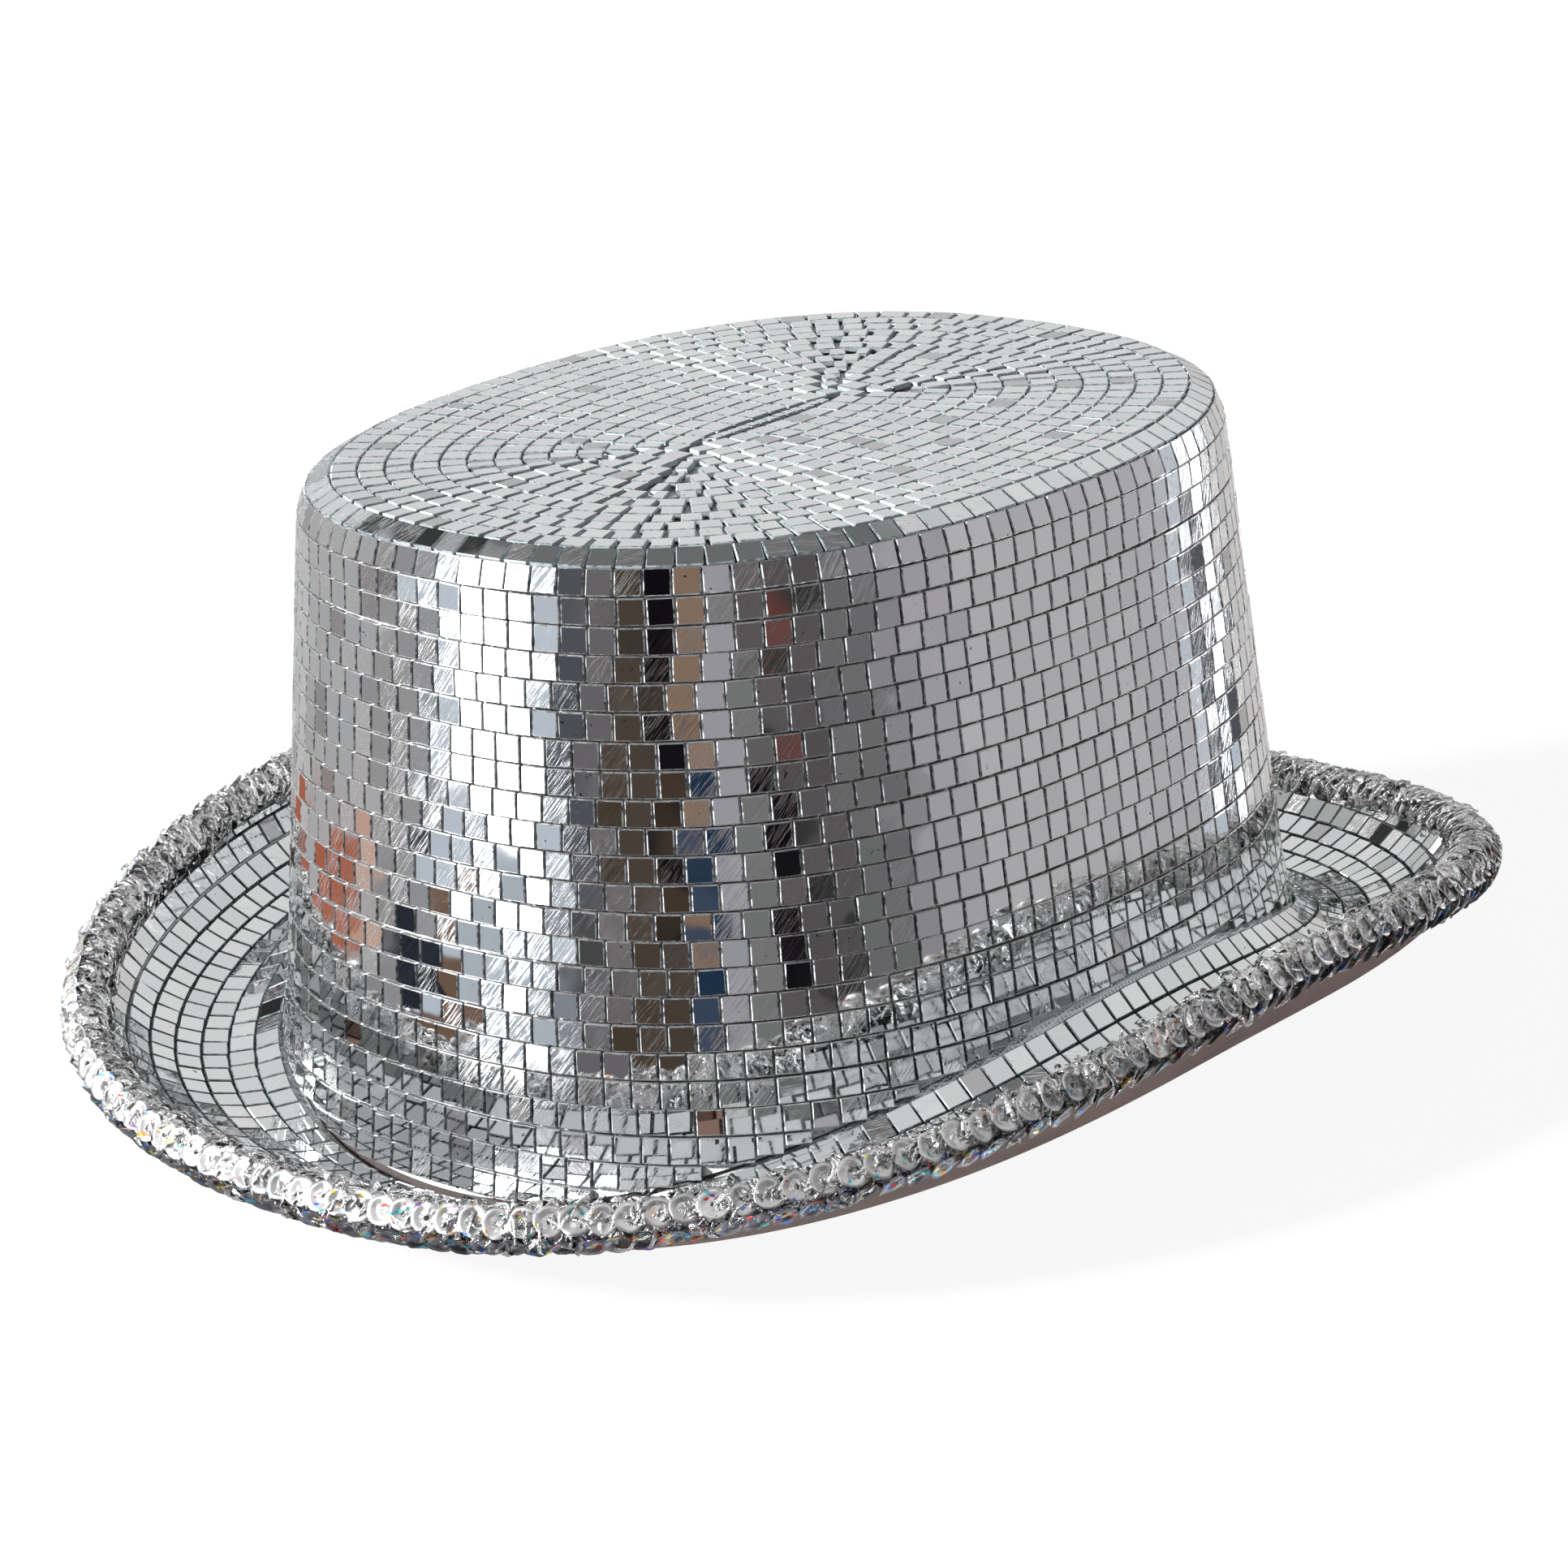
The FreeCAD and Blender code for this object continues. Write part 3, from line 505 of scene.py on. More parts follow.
# The braid's core, darker than the strips over it: partly its own foil's tone, partly painted shade in the
# gaps between the strips.
FOIL_CORE_SHADED = foil("foil_under_shaded", 0.45, 0.25)
FOIL_STRIP = foil("foil_strip", 0.97, 0.12)
SEQUIN_UPPER = sequin_film("sequin_film_upper", (0.58, 0.57, 0.57, 1), (0.86, 0.85, 0.85, 1), 0.04,
                           (700, 1300, 1900))
SEQUIN_LOWER = sequin_film("sequin_film_lower", (0.03, 0.03, 0.04, 1), (0.35, 0.34, 0.37, 1), 0.24,
                           (500, 900, 1300))
UNDER_FELT = felt("brim_felt", (0.050, 0.030, 0.024, 1), (0.080, 0.050, 0.042, 1),
                  (0.14, 0.105, 0.095, 1))
BODY_FELT = felt("stiff_felt", (0.05, 0.04, 0.038, 1), (0.08, 0.068, 0.062, 1),
                 (0.14, 0.12, 0.115, 1))
BACKING = woven("tile_backing", (0.86, 0.88, 0.87, 1), (0.50, 0.54, 0.54, 1), 320, 0.1)
# Pale, partly metallic copies of the same cloth, by the seam, by the trim and on the tip: painted light.
# The cloth there lies in shade, and these copies show the bright studio instead, standing in for light
# thrown about between the mirrors.
BACKING_PAINTED_LIGHT = woven("tile_backing_painted_light", (0.80, 0.84, 0.85, 1), (0.55, 0.60, 0.61, 1), 320, 0.1,
                     roughness=0.5, metallic=0.7)
BACKING_TIP_PAINTED_LIGHT = woven("tile_backing_tip_painted_light", (0.62, 0.65, 0.66, 1), (0.42, 0.45, 0.46, 1), 320, 0.1,
                    roughness=0.5, metallic=0.6)
# A darker copy of the same cloth, for under the shoulder's and the brim's tiles: its grey is painted shade,
# for the little light that gets down their gaps.
BACKING_SHADED = woven("tile_backing_painted_shade", (0.22, 0.25, 0.26, 1), (0.10, 0.12, 0.12, 1), 320, 0.1)
LINING = woven("lining_satin", (0.56, 0.57, 0.60, 1), (0.34, 0.35, 0.38, 1), 900, 0.6,
               roughness=0.4)
BAND_CLOTH = woven("sweatband_cloth", (0.055, 0.050, 0.050, 1), (0.02, 0.018, 0.018, 1), 420, 0.4)
TAPE = woven("cotton_tape", (0.30, 0.27, 0.25, 1), (0.14, 0.12, 0.11, 1), 520, 0.3)
BINDING = woven("binding_tape", (0.46, 0.46, 0.48, 1), (0.25, 0.25, 0.27, 1), 520, 0.3)
THREAD = woven("sewing_thread", (0.45, 0.42, 0.40, 1), (0.22, 0.20, 0.19, 1), 1800, 0.3)


# ---------------------------------------------------------------- tiles and sequins

def dress_tiles(node, face, edge):
    """Mirror faces on a CAD node of tiles, with narrow snapped edges all round each tile."""
    materials = node.data.materials
    materials.clear()
    materials.append(face)
    materials.append(edge)
    weld = node.modifiers.new("join corners", "WELD")
    weld.merge_threshold = WELD_DISTANCE
    flatten = node.modifiers.new("whole faces", "DECIMATE")
    flatten.decimate_type = "DISSOLVE"
    flatten.angle_limit = math.radians(1.5)
    bevel = node.modifiers.new("snapped edges", "BEVEL")
    bevel.width = CUT_EDGE_WIDTH
    bevel.segments = 1
    bevel.limit_method = "ANGLE"
    bevel.angle_limit = math.radians(30)
    bevel.material = 1


def dress(node, material):
    node.data.materials.clear()
    node.data.materials.append(material)


def dress_sequins(node, material):
    """Sequins of thin film, each a little crumpled."""
    dress(node, material)
    node.modifiers.new("join corners", "WELD").merge_threshold = WELD_DISTANCE
    crumple = bpy.data.textures.new("crumple", "CLOUDS")
    crumple.noise_scale = 0.0035
    crumple.cloud_type = "COLOR"
    push = node.modifiers.new("crumpled film", "DISPLACE")
    push.texture = crumple
    push.texture_coords = "LOCAL"
    push.direction = "RGB_TO_XYZ"
    push.strength = 0.0010


for node_name, cad_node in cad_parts.items():
    if node_name.startswith("crown_tiles"):
        dress_tiles(cad_node, WALL_GLASS, EDGE_WALL)
    elif node_name.startswith("brim_tiles"):
        dress_tiles(cad_node, BRIM_GLASS, EDGE_LEVEL_SHADED)
    elif "tiles" in node_name:
        dress_tiles(cad_node, TIP_GLASS, EDGE_LEVEL_SHADED)
    elif node_name == "sequins_upper_row":
        dress_sequins(cad_node, SEQUIN_UPPER)
    elif node_name == "sequins_lower_row":
        dress_sequins(cad_node, SEQUIN_LOWER)
    elif node_name in ("crown_side_body", "crown_tip_body", "brim_board"):
        dress(cad_node, BODY_FELT)


# ---------------------------------------------------------------- cloth under the tiles

def wall_line(t, inset):
    return [
        wall(t, seam_z(t) + WALL_CLOTH_START, inset),
        wall(t, seam_z(t) + 4, inset),
        wall(t, seam_z(t) + FLARE_HEIGHT, inset),
        wall(t, SHOULDER_Z - TOP_ROW_DROP - 0.2 * inset, inset),
        wall(t, SHOULDER_Z - 0.8 * inset - 0.5, inset - 0.35),
    ]


def shoulder_line(t, depth):
    return [wall(t, SHOULDER_Z - 0.8 * depth, depth - 0.3), tip_edge(t, 0.25 * depth - 0.1, TIP_Z - depth)]


def two_sided(line, t, outer, inner):
    """Cross-section of a sheet: the line at one depth, then back along it at the other."""
    return line(t, outer) + line(t, inner)[::-1]


def brim_line(first, last, steps):
    """Line across the brim from v = first to v = last, as a function of t and depth."""
    def line(t, depth):
        return [brim(t, v, depth) for v in np.linspace(first, last, steps)]
    return line


def flat_oval(name, inset, z, thickness, material, slot, stands_for, sag=0.0, rings=14, count=180):
    """A level oval sheet with its top face at height z; sag lets its middle hang."""
    t = np.arange(count) / count * TURN
    layers = []
    for top, order in ((z, range(1, rings + 1)), (z - thickness, range(rings, 0, -1))):
        for ring in order:
            share = ring / rings
            points = tip_edge(t, inset, top) * (share, share, 1.0)
            layers.append(points - (0.0, 0.0, sag * (1.0 - share ** 2)))
    points = np.stack(layers)
    faces = grid_faces(points.shape[0], count, False, True).tolist()
    total = points.shape[0] * count
    for centre, ring_start in ((0, 0), (1, total - count)):
        for j in range(count):
            a, b = ring_start + j, ring_start + (j + 1) % count
            faces.append([b, a, total + centre] if centre == 0 else [a, b, total + centre])
    vertices = np.concatenate([points.reshape(-1, 3),
                               [[0, 0, z - sag], [0, 0, z - thickness - sag]]])
    return add_piece(name, vertices, faces, material, slot, stands_for, 40.0)


def tile_backing():
    inner = CLOTH_DEPTH + CLOTH_THICK
    ring_piece("backing_wall", lambda t: two_sided(wall_line, t, CLOTH_DEPTH, inner),
               BACKING, "backing_cloth", ["crown_side_cloth"])
    # The shoulder's cloth is the darker copy: painted shade.
    ring_piece("backing_shoulder", lambda t: two_sided(shoulder_line, t, CLOTH_DEPTH, inner),
               BACKING_SHADED, "backing_cloth", ["shoulder_cloth"])
    # The tip's cloth is a pale metallic copy: painted light.
    flat_oval("backing_tip", 0.6, TIP_Z - CLOTH_DEPTH, CLOTH_THICK, BACKING_TIP_PAINTED_LIGHT, "backing_cloth",
              ["tip_cloth"])
    # By the seam and by the trim the cloth is a pale metallic copy: painted light.
    at_seam = brim_line(*SEAM_STRIP, 4)
    ring_piece("backing_seam", lambda t: two_sided(at_seam, t, CLOTH_DEPTH, inner),
               BACKING_PAINTED_LIGHT, "backing_cloth", ["brim_cloth"])
    # Most of the brim's cloth is the darker copy: painted shade.
    on_brim = brim_line(*BRIM_STRIP, 10)
    ring_piece("backing_brim", lambda t: two_sided(on_brim, t, CLOTH_DEPTH, inner),
               BACKING_SHADED, "backing_cloth", ["brim_cloth"])
    by_trim = brim_line(*TRIM_STRIP, 3)
    ring_piece("backing_trim", lambda t: two_sided(by_trim, t, CLOTH_DEPTH, inner),
               BACKING_PAINTED_LIGHT, "backing_cloth", ["brim_cloth"])


tile_backing()


# ---------------------------------------------------------------- felt, tape and braid

def felt_section(t):
    uneven = ripple(t, 3, (5, 9, 14, 23), 0.12)
    top = [wall(t, seam_z(t) - BOARD_BOTTOM - GAP, WALL_INNER)]
    bottom = [wall(t, seam_z(t) - FELT_BOTTOM, WALL_INNER)]
    for v in np.linspace(0.04, 1.0, 30):
        top.append(brim(t, v, BOARD_BOTTOM + GAP))
        swell = uneven * math.sin(math.pi * v) * (0.6 + 0.4 * math.sin(9 * v))
        bottom.append(brim(t, v, FELT_BOTTOM - np.maximum(0.0, swell)))
    return top + bottom[::-1]


def edge_tape_section(t):
    top = TRIM_DEPTH - BODY_DEPTH
    bottom = TRIM_DEPTH - FELT_BOTTOM
    inner = 2 * GAP
    outer = inner + TAPE_THICK
    return [
        trim(t, -TAPE_REACH, top + GAP),
        trim(t, inner, top + GAP),
        trim(t, inner, bottom - GAP),
        trim(t, -TAPE_REACH, bottom - GAP),
        trim(t, -TAPE_REACH, bottom - GAP - TAPE_THICK),
        trim(t, outer - 0.15, bottom - GAP - TAPE_THICK),
        trim(t, outer, bottom - GAP - TAPE_THICK + 0.15),
        trim(t, outer, top + GAP + TAPE_THICK - 0.15),
        trim(t, outer - 0.15, top + GAP + TAPE_THICK),
        trim(t, -TAPE_REACH, top + GAP + TAPE_THICK),
    ]


def braid_section(t):
    """The braid's packed core, wrapped round the tape; its surface is pulled into lumps."""
    top = TRIM_DEPTH - BODY_DEPTH + TAPE_THICK + 2 * GAP
    bottom = TRIM_DEPTH - FELT_BOTTOM - TAPE_THICK - 2 * GAP
    corners = []
    for k, degrees in enumerate(np.linspace(160, -120, 29)):
        angle = math.radians(degrees)
        twist = np.sin(BRAID_TWISTS * t + 2.2 * angle) + ripple(t, 40 + k, (83, 140, 211), 1.0)
        radius = BRAID_RADIUS - 0.25 + 0.16 * twist
        corners.append(trim(t, radius * math.cos(angle), radius * math.sin(angle)))
    inner = TAPE_THICK + 4 * GAP
    corners += [trim(t, -0.9, bottom), trim(t, inner, bottom), trim(t, inner, top), trim(t, -2.8, top)]
    return corners


def foil_strips(seed, count, start, end):
    """Short crinkled foil strips on the braid, between two plan angles. Each is a thin closed fold:
    two edges and a raised ridge, in three bent lengths along a slanting line."""
    random = np.random.default_rng(seed)
    t = random.uniform(start, end, count)
    angle = np.radians(random.uniform(*STRIP_ANGLES, count))
    slant = np.radians(random.normal(52, 26, count) * random.choice([1, -1], count, p=[0.72, 0.28]))
    length = random.uniform(1.8, 4.6, count)
    width = random.uniform(0.35, 0.95, count)
    inner_side = np.clip((np.degrees(angle) - SPLAY_FROM) / SPLAY_WIDTH, 0.0, 1.0)
    far_top = np.clip(2.5 * np.cos(t - FAR_SIDE) + 0.9, 0.0, 1.0)
    far_top = far_top * np.exp(-((np.degrees(angle) - TOP_ANGLE) / TOP_SPREAD) ** 2)
    lift = random.uniform(0.0, 0.45, count) + random.uniform(0.0, 1.8, count) * inner_side
    lift += random.uniform(0.5, 2.2, count) * far_top
    loose = (random.uniform(0.0, 1.0, count) < LOOSE_SHARE) * (1.0 - far_top)
    lift += random.uniform(0.5, 1.6, count) * loose
    roll = random.normal(0, 0.5, count)
    turn = random.normal(0, 0.5, count)
    speed = np.linalg.norm(trim(t + 0.001, 0.0, 0.0) - trim(t - 0.001, 0.0, 0.0), axis=-1) / 0.002

    rows = []
    for share in (-0.5, -0.17, 0.17, 0.5):
        bend = slant + turn * share * 1.6
        go_along = np.cos(bend) * length * share
        go_round = np.sin(bend) * length * share
        arch = lift + 0.55 * (0.25 - share ** 2) * length / 2.4
        for side, ridge in ((-0.5, 0.0), (0.0, 0.14), (0.5, 0.0)):
            along = go_along - np.sin(bend) * width * side
            around = go_round + np.cos(bend) * width * side
            radius = BRAID_RADIUS - 0.1 + arch + ridge + width * side * np.sin(roll + 2.0 * share)
            place_angle = angle + around / (BRAID_RADIUS + 0.3)
            place_t = t + along / speed
            rows.append(trim(place_t, radius * np.cos(place_angle), radius * np.sin(place_angle)))
    vertices = np.stack(rows, axis=1).reshape(-1, 3)
    pattern = [[0, 2, 1], [9, 10, 11]]
    for station in (0, 3, 6):
        for a, b in ((0, 1), (1, 2), (2, 0)):
            pattern.append([station + a, station + b, station + b + 3, station + a + 3])
    faces = [[12 * strip + corner for corner in face] for strip in range(count) for face in pattern]
    return vertices, faces


ring_piece("brim_felt", felt_section, UNDER_FELT, "under_felt", ["brim_under_felt"], count=540)
ring_piece("edge_tape", edge_tape_section, BINDING, "tape", ["edge_binding"])
ring_piece("braid_core", braid_section, FOIL_CORE_SHADED, "tinsel", ["tinsel_braid"], count=2400, crease=60.0)
for quarter in range(4):
    strips = foil_strips(7 + quarter, STRIPS_IN_QUARTER, quarter * TURN / 4, (quarter + 1) * TURN / 4)
    add_piece(f"braid_foil_{quarter + 1}", *strips, FOIL_STRIP, "tinsel")


# ---------------------------------------------------------------- inside of the crown

def joint_tape_section(t):
    top = TIP_Z - WALL_INNER - GAP
    outer = WALL_INNER + GAP
    return [
        wall(t, SHOULDER_Z - 12, outer),
        wall(t, SHOULDER_Z - TOP_ROW_DROP - 1.5, outer),
        wall(t, SHOULDER_Z - 0.8 * outer - 0.2, outer - 0.4),
        tip_edge(t, 0.25 * outer + 0.1, top),
        tip_edge(t, 13, top),
        tip_edge(t, 13, top - TAPE_THICK),
        tip_edge(t, 0.25 * outer + 0.3, top - TAPE_THICK),
        wall(t, SHOULDER_Z - 0.8 * outer - 0.75, outer + 0.05),
        wall(t, SHOULDER_Z - TOP_ROW_DROP - 1.6, outer + TAPE_THICK),
        wall(t, SHOULDER_Z - 12, outer + TAPE_THICK),
    ]


def lining_section(t):
    """Satin lining, hanging in soft upright folds that grow towards the tip."""
    outer = []
    inner = []
    folds = 0.5 + 0.5 * np.sin(46 * t + ripple(t, 12, (3, 7, 11), 1.4))
    for share in np.linspace(0.0, 1.0, 26):
        z = (seam_z(t) + 3) * (1 - share) + (SHOULDER_Z - TOP_ROW_DROP - 2.0) * share
        depth = folds * (0.15 + 1.1 * share)
        outer.append(wall(t, z, LINING_INSET + depth))
        inner.append(wall(t, z, LINING_INSET + LINING_THICK + depth))
    top = TIP_Z - WALL_INNER - TAPE_THICK - 2 * GAP
    outer.append(tip_edge(t, 3.0 + folds, top - 0.3))
    inner.append(tip_edge(t, 3.6 + folds, top - 0.3 - LINING_THICK))
    return outer + inner[::-1]


def band_section(t):
    """Band round the head, softly uneven, with a rolled lower edge."""
    uneven = ripple(t, 21, (4, 6, 10, 15), 0.22)
    outer = []
    inner = []
    for share in np.linspace(0.0, 1.0, 18):
        rise = share * BAND_HEIGHT
        z = seam_z(t) - BOARD_BOTTOM + rise
        inset = WALL_INNER + GAP + (BAND_INSET - WALL_INNER - GAP) * min(1.0, max(0.0, (rise - 3.0) / 2.4))
        bulge = 0.5 * math.sin(math.pi * share) + uneven * share
        round_off = 0.22 * math.exp(-rise / 0.6)
        outer.append(wall(t, z, inset + round_off))
        inner.append(wall(t, z, inset + BAND_THICK + np.maximum(0.0, bulge) - round_off))
    return outer + inner[::-1]


def sweatband():
    """The band is open at the back: its ring leaves out a narrow slit there."""
    half_slit = BAND_SLIT / 2 / SEAM_HALF_SHORT
    t = math.pi / 2 + np.linspace(half_slit, TURN - half_slit, 480)
    points = np.stack(band_section(t), axis=1)
    rows, columns = points.shape[:2]
    faces = grid_faces(rows, columns, False, True).tolist()
    faces.append(list(range(columns))[::-1])
    faces.append([(rows - 1) * columns + j for j in range(columns)])
    return points.reshape(-1, 3), faces


def band_stitches():
    """Thread stitches that hold the band to the brim, as short arched cords."""
    t = np.linspace(math.pi / 2 + 0.04, math.pi / 2 + TURN - 0.04, STITCHES)
    stations, sides = 7, 6
    inset = WALL_INNER + GAP + BAND_THICK
    vertices, faces = [], []
    for middle in t:
        start = len(vertices)
        for share in np.linspace(-1, 1, stations):
            angle = middle + share * STITCH_HALF / HEAD_RADIUS
            arch = 0.28 * (1 - share ** 2) - 0.1
            centre = wall(angle, seam_z(angle) - STITCH_DROP, inset + arch)
            level = np.array([math.cos(angle), math.sin(angle), 0.0])
            for k in range(sides):
                bend = k * TURN / sides
                radius = THREAD_RADIUS * (1 - 0.35 * abs(share) ** 3)
                offset = level * math.cos(bend) * radius + np.array([0, 0, math.sin(bend) * radius])
                vertices.append(centre + offset)
        for i in range(stations - 1):
            for k in range(sides):
                a, b = start + i * sides + k, start + i * sides + (k + 1) % sides
                faces.append([a, b, b + sides, a + sides])
        faces.append([start + k for k in range(sides)][::-1])
        faces.append([start + (stations - 1) * sides + k for k in range(sides)])
    return vertices, faces


def join_patch():
    """Small cloth patch over the two ends of the band, its corners pressed down."""
    columns, rows = 15, 29
    inset = BAND_INSET + BAND_THICK + 0.5
    layers = []
    for thickness in (0.0, 0.6):
        for i in range(rows):
            for j in range(columns):
                across, up = j / (columns - 1) * 2 - 1, i / (rows - 1) * 2 - 1
                angle = math.pi / 2 + across * PATCH_HALF_WIDTH / HEAD_RADIUS
                swell = thickness * (1 - 0.7 * max(abs(across), abs(up)) ** 8)
                z = float(seam_z(math.pi / 2)) + PATCH_RISE + up * PATCH_HALF_HEIGHT
                layers.append(wall(angle, z, inset + swell))
    count = rows * columns
    front = grid_faces(rows, columns, False, False)
    faces = front[:, ::-1].tolist() + (front + count).tolist()
    rim = (list(range(columns)) + [i * columns + columns - 1 for i in range(1, rows)]
           + [(rows - 1) * columns + j for j in range(columns - 2, -1, -1)]
           + [i * columns for i in range(rows - 2, 0, -1)])
    for a, b in zip(rim, rim[1:] + rim[:1]):
        faces.append([a, b, b + count, a + count])
    return layers, faces


ring_piece("joint_tape", joint_tape_section, TAPE, "tape", ["tip_joint_tape"])
ring_piece("lining_side", lining_section, LINING, "lining_cloth", ["crown_lining_side"], count=720)
flat_oval("lining_tip", 2.05, TIP_Z - WALL_INNER - TAPE_THICK - 2 * GAP, LINING_THICK, LINING,
          "lining_cloth", ["crown_lining_tip"], sag=1.5)
add_piece("sweatband_cloth", *sweatband(), BAND_CLOTH, "sweatband_cloth", ["sweatband"], 40.0)
add_piece("sweatband_thread", *band_stitches(), THREAD, "thread", ["sweatband_stitches"], 40.0)
add_piece("sweatband_patch", *join_patch(), BAND_CLOTH, "sweatband_cloth", ["sweatband_join_patch"], 40.0)


# ---------------------------------------------------------------- studio

# What the mirrors show, by direction: (first azimuth in degrees, colour). Azimuth 0 is in front
# of the hat and 90 is to its right.
WHITE = (12.0, 12.0, 12.2, 1)
BLACK = (0.005, 0.004, 0.006, 1)
DARK_BROWN = (0.055, 0.036, 0.022, 1)
PALE_BLUE = (0.56, 0.61, 0.67, 1)
SLATE = (0.085, 0.085, 0.105, 1)
LILAC = (0.36, 0.35, 0.385, 1)
RIGHT_PANEL = [(157, PALE_BLUE), (160, SLATE), (162, grey(1.5)), (164, SLATE), (168, WHITE),
               (171, PALE_BLUE), (174, SLATE), (176.5, (0.64, 0.62, 0.61, 1))]
EYE_LEVEL = [
    (0, SLATE), (2, (0.15, 0.14, 0.145, 1)), (9, DARK_BROWN), (20, (0.036, 0.025, 0.017, 1)),
    (26, BLACK), (32, (0.25, 0.165, 0.11, 1)), (41.5, LILAC), (50, grey(0.19)),
    (56, (0.115, 0.105, 0.11, 1)), (62, (0.14, 0.040, 0.030, 1)), (65, grey(0.03)),
    (68, (0.095, 0.085, 0.09, 1)), (80, (0.15, 0.145, 0.15, 1)),
    (92, (0.28, 0.27, 0.285, 1)), (101, (0.39, 0.375, 0.395, 1)),
    (112, (0.475, 0.465, 0.475, 1)), *RIGHT_PANEL,
    (225, grey(0.55)), (262, (0.45, 0.445, 0.45, 1)), (300, (0.33, 0.325, 0.33, 1)), (316, PALE_BLUE),
    (322, WHITE), (347, PALE_BLUE), (354, SLATE),
]
BELOW = [
    (0, (0.15, 0.14, 0.145, 1)), (9, DARK_BROWN), (20, BLACK), (25, DARK_BROWN),
    (30, (0.040, 0.062, 0.105, 1)), (36, (0.010, 0.030, 0.065, 1)), (43, LILAC), (50, grey(0.18)),
    (57, BLACK), (66, (0.095, 0.085, 0.09, 1)), (73, grey(0.02)), (79, grey(0.15)),
    (92, (0.28, 0.27, 0.285, 1)), (101, (0.39, 0.375, 0.395, 1)),
    (112, (0.46, 0.45, 0.46, 1)), *RIGHT_PANEL,
    (235, grey(0.40)), (302, (0.28, 0.275, 0.28, 1)), (309, (0.02, 0.024, 0.035, 1)),
    (316, (0.17, 0.10, 0.065, 1)), (322, (0.46, 0.50, 0.55, 1)), (346, (0.24, 0.26, 0.30, 1)),
    (354, grey(0.07)),
]
ABOVE = [
    (0, grey(0.75)), (110, grey(0.68)), (180, grey(0.73)), (251, grey(0.03)),
    (255.5, grey(0.45)), (318, grey(0.76)),
]
OVERHEAD = [(0, grey(0.72)), (170, grey(0.16)), (262, grey(0.68))]
AMBIENT = 0.06
ORANGE = (0.42, 0.13, 0.075, 1)
PEACH = (0.60, 0.38, 0.29, 1)
SPOT = (30.0, 30.0, 30.0, 1)

# Where single things stand in the studio, in degrees
CLOTH_AZIMUTHS = (244, 303)
PEACH_FROM = 296
CLOTH_HALF_HEIGHT = 0.65
LAMP_AZIMUTHS = (316, 349)
SPOT_AZIMUTHS = (271, 283)
SPOT_HEIGHTS = (25.0, 36.0)
GLINT_AZIMUTHS = (237, 248)
GLINT_HEIGHTS = (-3.0, 3.0)
OVERHEAD_FROM = (50.0, 57.0)
FLOOR_DROP = 0.05        # in millimetres
FLOOR_HALF = 6000.0
FLOOR_LIFT = 0.92


def swinging(graph, turn, middle, swing, highest):
    """Height in degrees that rises and falls once round the horizon, highest at one azimuth."""
    return graph.math("MULTIPLY_ADD", graph.math("COSINE", graph.math(
        "SUBTRACT", turn, math.radians(highest))), swing, middle)


def between(graph, value, low, high):
    return graph.math("MULTIPLY", graph.math("GREATER_THAN", value, low),
                      graph.math("LESS_THAN", value, high))


def sector(graph, azimuth, degrees):
    """1 between two azimuths; azimuth runs from 0 to 1 round the horizon."""
    return between(graph, azimuth, degrees[0] / 360, degrees[1] / 360)


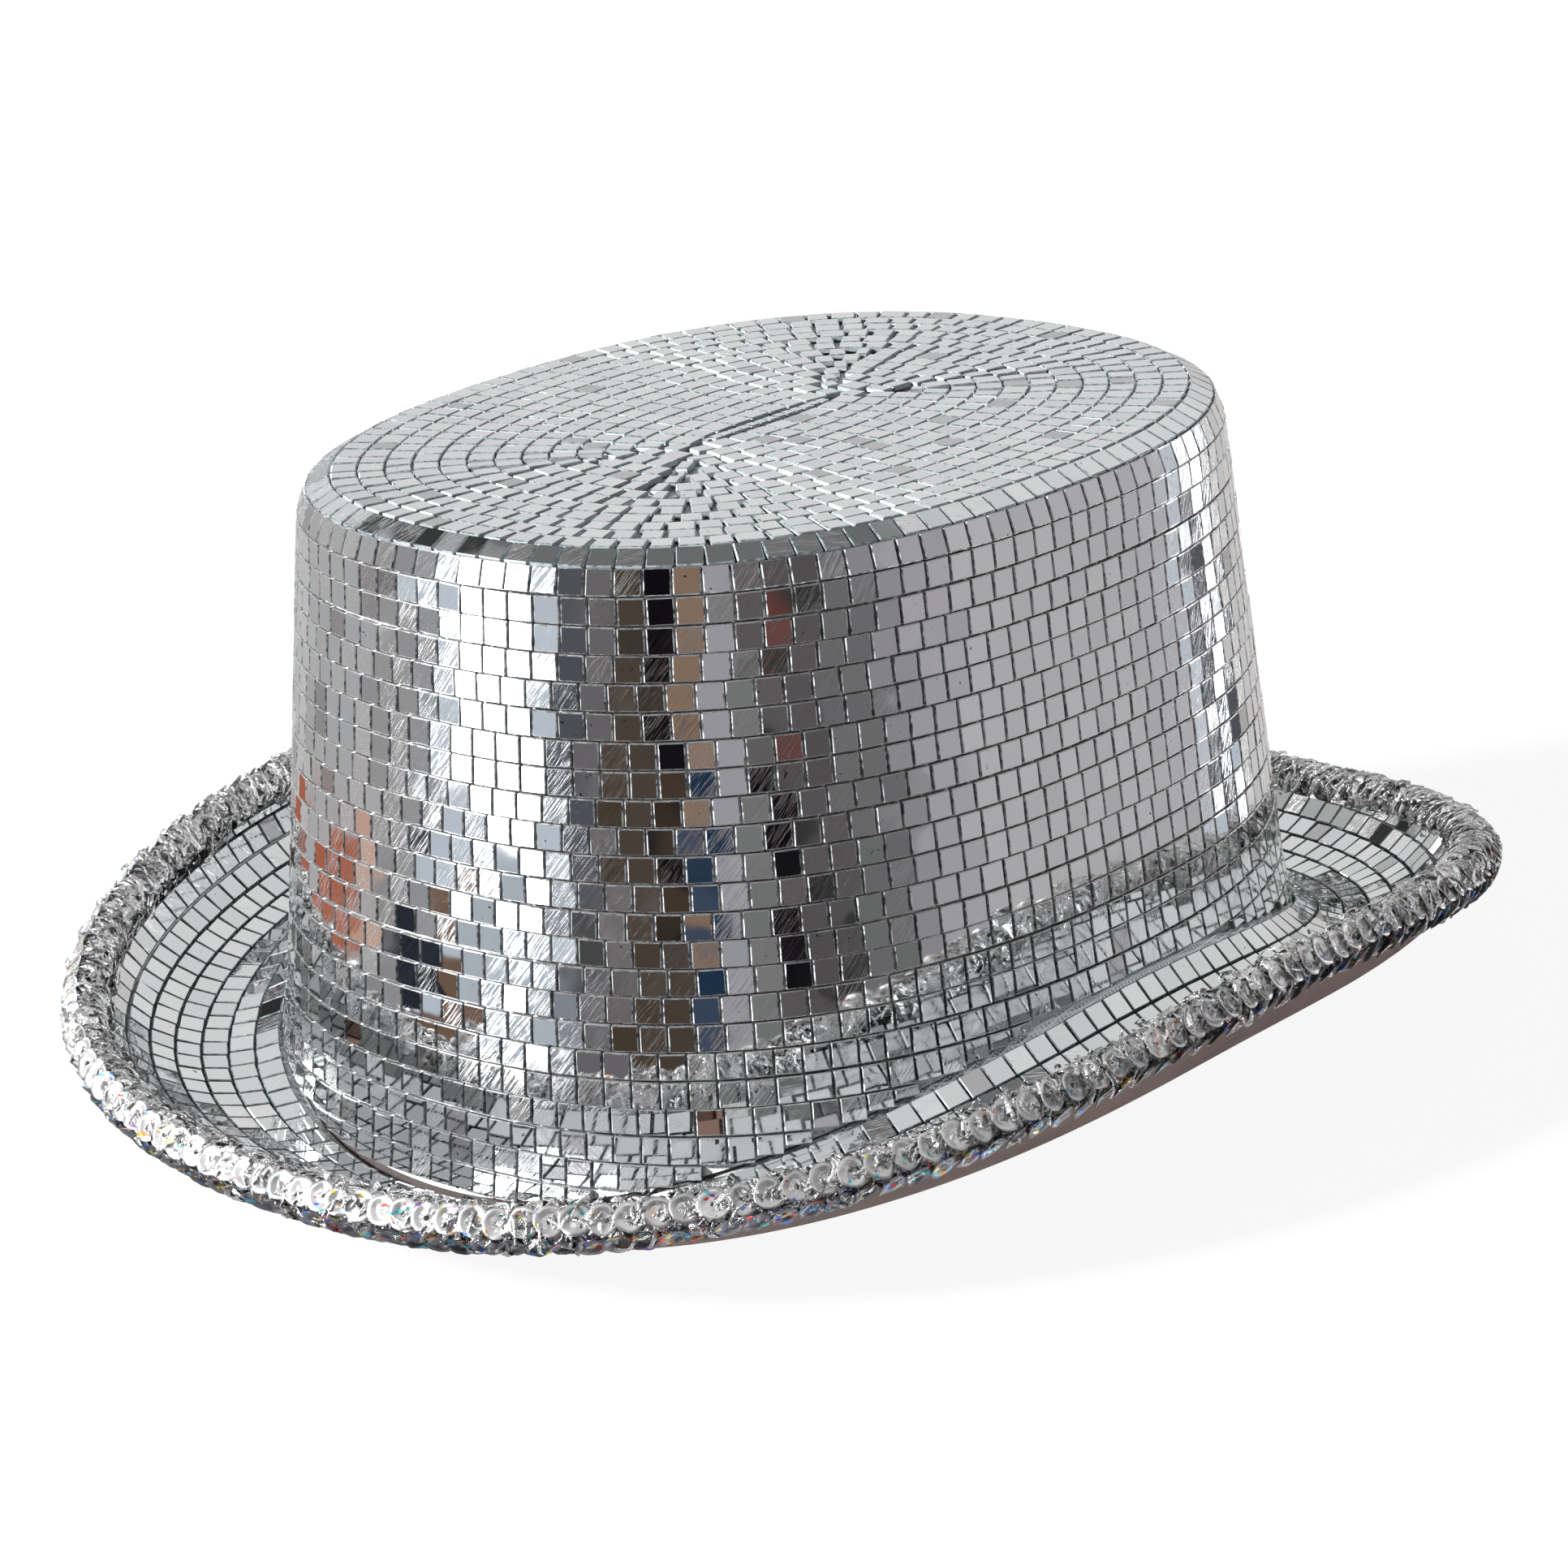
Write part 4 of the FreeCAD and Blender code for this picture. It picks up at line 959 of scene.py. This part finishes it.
def studio_world():
    """White behind the hat, plain pale light on cloth, and a studio for the mirrors to show."""
    world = bpy.data.worlds.new("studio")
    bpy.context.scene.world = world
    world.use_nodes = True
    graph = Graph(world.node_tree)
    background = world.node_tree.nodes["Background"]
    look = graph.node("TexCoord").outputs["Generated"]
    x, y, z = graph.node("SeparateXYZ", {0: look}).outputs
    turn = graph.math("ARCTAN2", x, graph.math("MULTIPLY", y, -1.0))
    azimuth = graph.math("FRACT", graph.math("ADD", graph.math("DIVIDE", turn, TURN), 1.0))
    height = graph.math("DEGREES", graph.math("ARCSINE", z))
    floor_line = swinging(graph, turn, -12.1, 4.0, 60)
    ceiling_line = swinging(graph, turn, 18.0, 10.0, 50)
    over_floor = graph.math("GREATER_THAN", height, floor_line)
    mirrored = graph.mix(over_floor, bands(graph, azimuth, BELOW, 360.0),
                         bands(graph, azimuth, EYE_LEVEL, 360.0))

    cloth = graph.mix(graph.math("GREATER_THAN", azimuth, PEACH_FROM / 360), ORANGE, PEACH)
    over_cloth = graph.math("SUBTRACT", height, swinging(graph, turn, -15.9, 3.4, 0))
    patch = graph.math("MULTIPLY", sector(graph, azimuth, CLOTH_AZIMUTHS),
                       between(graph, over_cloth, -CLOTH_HALF_HEIGHT, CLOTH_HALF_HEIGHT))
    mirrored = graph.mix(patch, mirrored, cloth)

    ceiling = bands(graph, azimuth, ABOVE, 360.0)
    stripes = graph.math("SINE", graph.math("MULTIPLY", height, 1.1))
    lamps = graph.math("MULTIPLY", sector(graph, azimuth, LAMP_AZIMUTHS),
                       graph.math("GREATER_THAN", stripes, 0.72))
    ceiling = graph.mix(lamps, ceiling, WHITE)
    spot = graph.math("MULTIPLY", sector(graph, azimuth, SPOT_AZIMUTHS),
                      between(graph, height, *SPOT_HEIGHTS))
    ceiling = graph.mix(spot, ceiling, SPOT)
    glint = graph.math("MULTIPLY", sector(graph, azimuth, GLINT_AZIMUTHS),
                       between(graph, height, *GLINT_HEIGHTS))
    mirrored = graph.mix(glint, mirrored, WHITE)
    above = graph.step(graph.math("SUBTRACT", height, ceiling_line), 0.0, 3.0)
    mirrored = graph.mix(above, mirrored, ceiling)
    mirrored = graph.mix(graph.step(height, *OVERHEAD_FROM), mirrored,
                         bands(graph, azimuth, OVERHEAD, 360.0))
    clutter = graph.noise(look, 9.0, 2.0).outputs["Fac"]
    mirrored = graph.mix(graph.step(clutter, 0.35, 0.7, 0.0, 0.10), mirrored, grey(0.25))

    path = graph.node("LightPath").outputs
    seen = graph.mix(path["Is Glossy Ray"], grey(AMBIENT), mirrored)
    seen = graph.mix(path["Is Camera Ray"], seen, grey(1.0))
    graph.feed(background.inputs["Color"], seen)


def aim(thing, place, target):
    thing.location = place
    thing.rotation_mode = "QUATERNION"
    thing.rotation_quaternion = (Vector(target) - Vector(place)).to_track_quat("-Z", "Y")


def sun(name, azimuth, elevation, softness, strength):
    """Even light from one side, its disc not seen in the mirrors."""
    data = bpy.data.lights.new(name, "SUN")
    data.energy = strength
    data.angle = math.radians(softness)
    light = bpy.data.objects.new(name, data)
    light.visible_glossy = False
    bpy.context.scene.collection.objects.link(light)
    a, e = math.radians(azimuth), math.radians(elevation)
    aim(light, (math.sin(a) * math.cos(e), -math.cos(a) * math.cos(e), math.sin(e)), (0, 0, 0))


def pale_floor():
    """Large plain floor. The camera sees it lifted towards white, so that shadows stay pale. It
    casts none, so that the light from below gets through it."""
    steps = 8
    line = np.linspace(-FLOOR_HALF, FLOOR_HALF, steps)
    x, y = np.meshgrid(line, line)
    vertices = np.stack([x, y, np.full_like(x, -FLOOR_DROP)], axis=-1).reshape(-1, 3)
    mesh = bpy.data.meshes.new("floor")
    mesh.from_pydata(vertices * MILLIMETRE, [], grid_faces(steps, steps, False, False).tolist())
    finish = Finish("floor_paper")
    grain = finish.noise(finish.place, 400, 3.0).outputs["Fac"]
    finish.set(Base_Color=finish.mix(grain, grey(0.90), grey(0.93)), Roughness=0.95)
    finish.shader.inputs["Specular IOR Level"].default_value = 0.0
    glow = finish.node("Emission", {"Color": grey(1.0), "Strength": 1.0}).outputs[0]
    lift = finish.math("MULTIPLY", finish.node("LightPath").outputs["Is Camera Ray"], FLOOR_LIFT)
    lifted = finish.node("MixShader", {0: lift, 1: finish.shader.outputs[0], 2: glow}).outputs[0]
    finish.feed(finish.tree.nodes["Material Output"].inputs["Surface"], lifted)
    mesh.materials.append(finish.material)
    floor = bpy.data.objects.new("floor", mesh)
    bpy.context.scene.collection.objects.link(floor)
    floor.visible_glossy = False
    floor.visible_shadow = False


def photo_camera():
    """Camera seen from the hat at 41.6 degrees to the right and 18.9 up, tipped 3.1 degrees."""
    azimuth, elevation, tip = math.radians(41.6), math.radians(18.85), math.radians(-3.12)
    distance, shift_right, shift_up = 925.45, 0.83, -24.63
    target = Vector((0, 0, 77.4))
    back = Vector((math.sin(azimuth) * math.cos(elevation), -math.cos(azimuth) * math.cos(elevation),
                   math.sin(elevation)))
    level = Vector((math.cos(azimuth), math.sin(azimuth), 0))
    above = back.cross(level)
    right = level * math.cos(tip) + above * math.sin(tip)
    up = above * math.cos(tip) - level * math.sin(tip)
    place = (target + back * distance + right * shift_right + up * shift_up) * MILLIMETRE
    data = bpy.data.cameras.new("camera")
    data.lens = 111.16
    data.sensor_width = 36.0
    data.clip_start = 0.05
    camera = bpy.data.objects.new("camera", data)
    bpy.context.scene.collection.objects.link(camera)
    camera.matrix_world = Matrix.Translation(place) @ Matrix((right, up, back)).transposed().to_4x4()
    bpy.context.scene.camera = camera


studio_world()
sun("key", 334, 30, 12, 12.0)
sun("top", 80, 70, 50, 0.35)
sun("bounce", 100, -30, 80, 2.6)    # light that the floor sends back up
pale_floor()
photo_camera()
bpy.context.scene.view_settings.view_transform = "Standard"
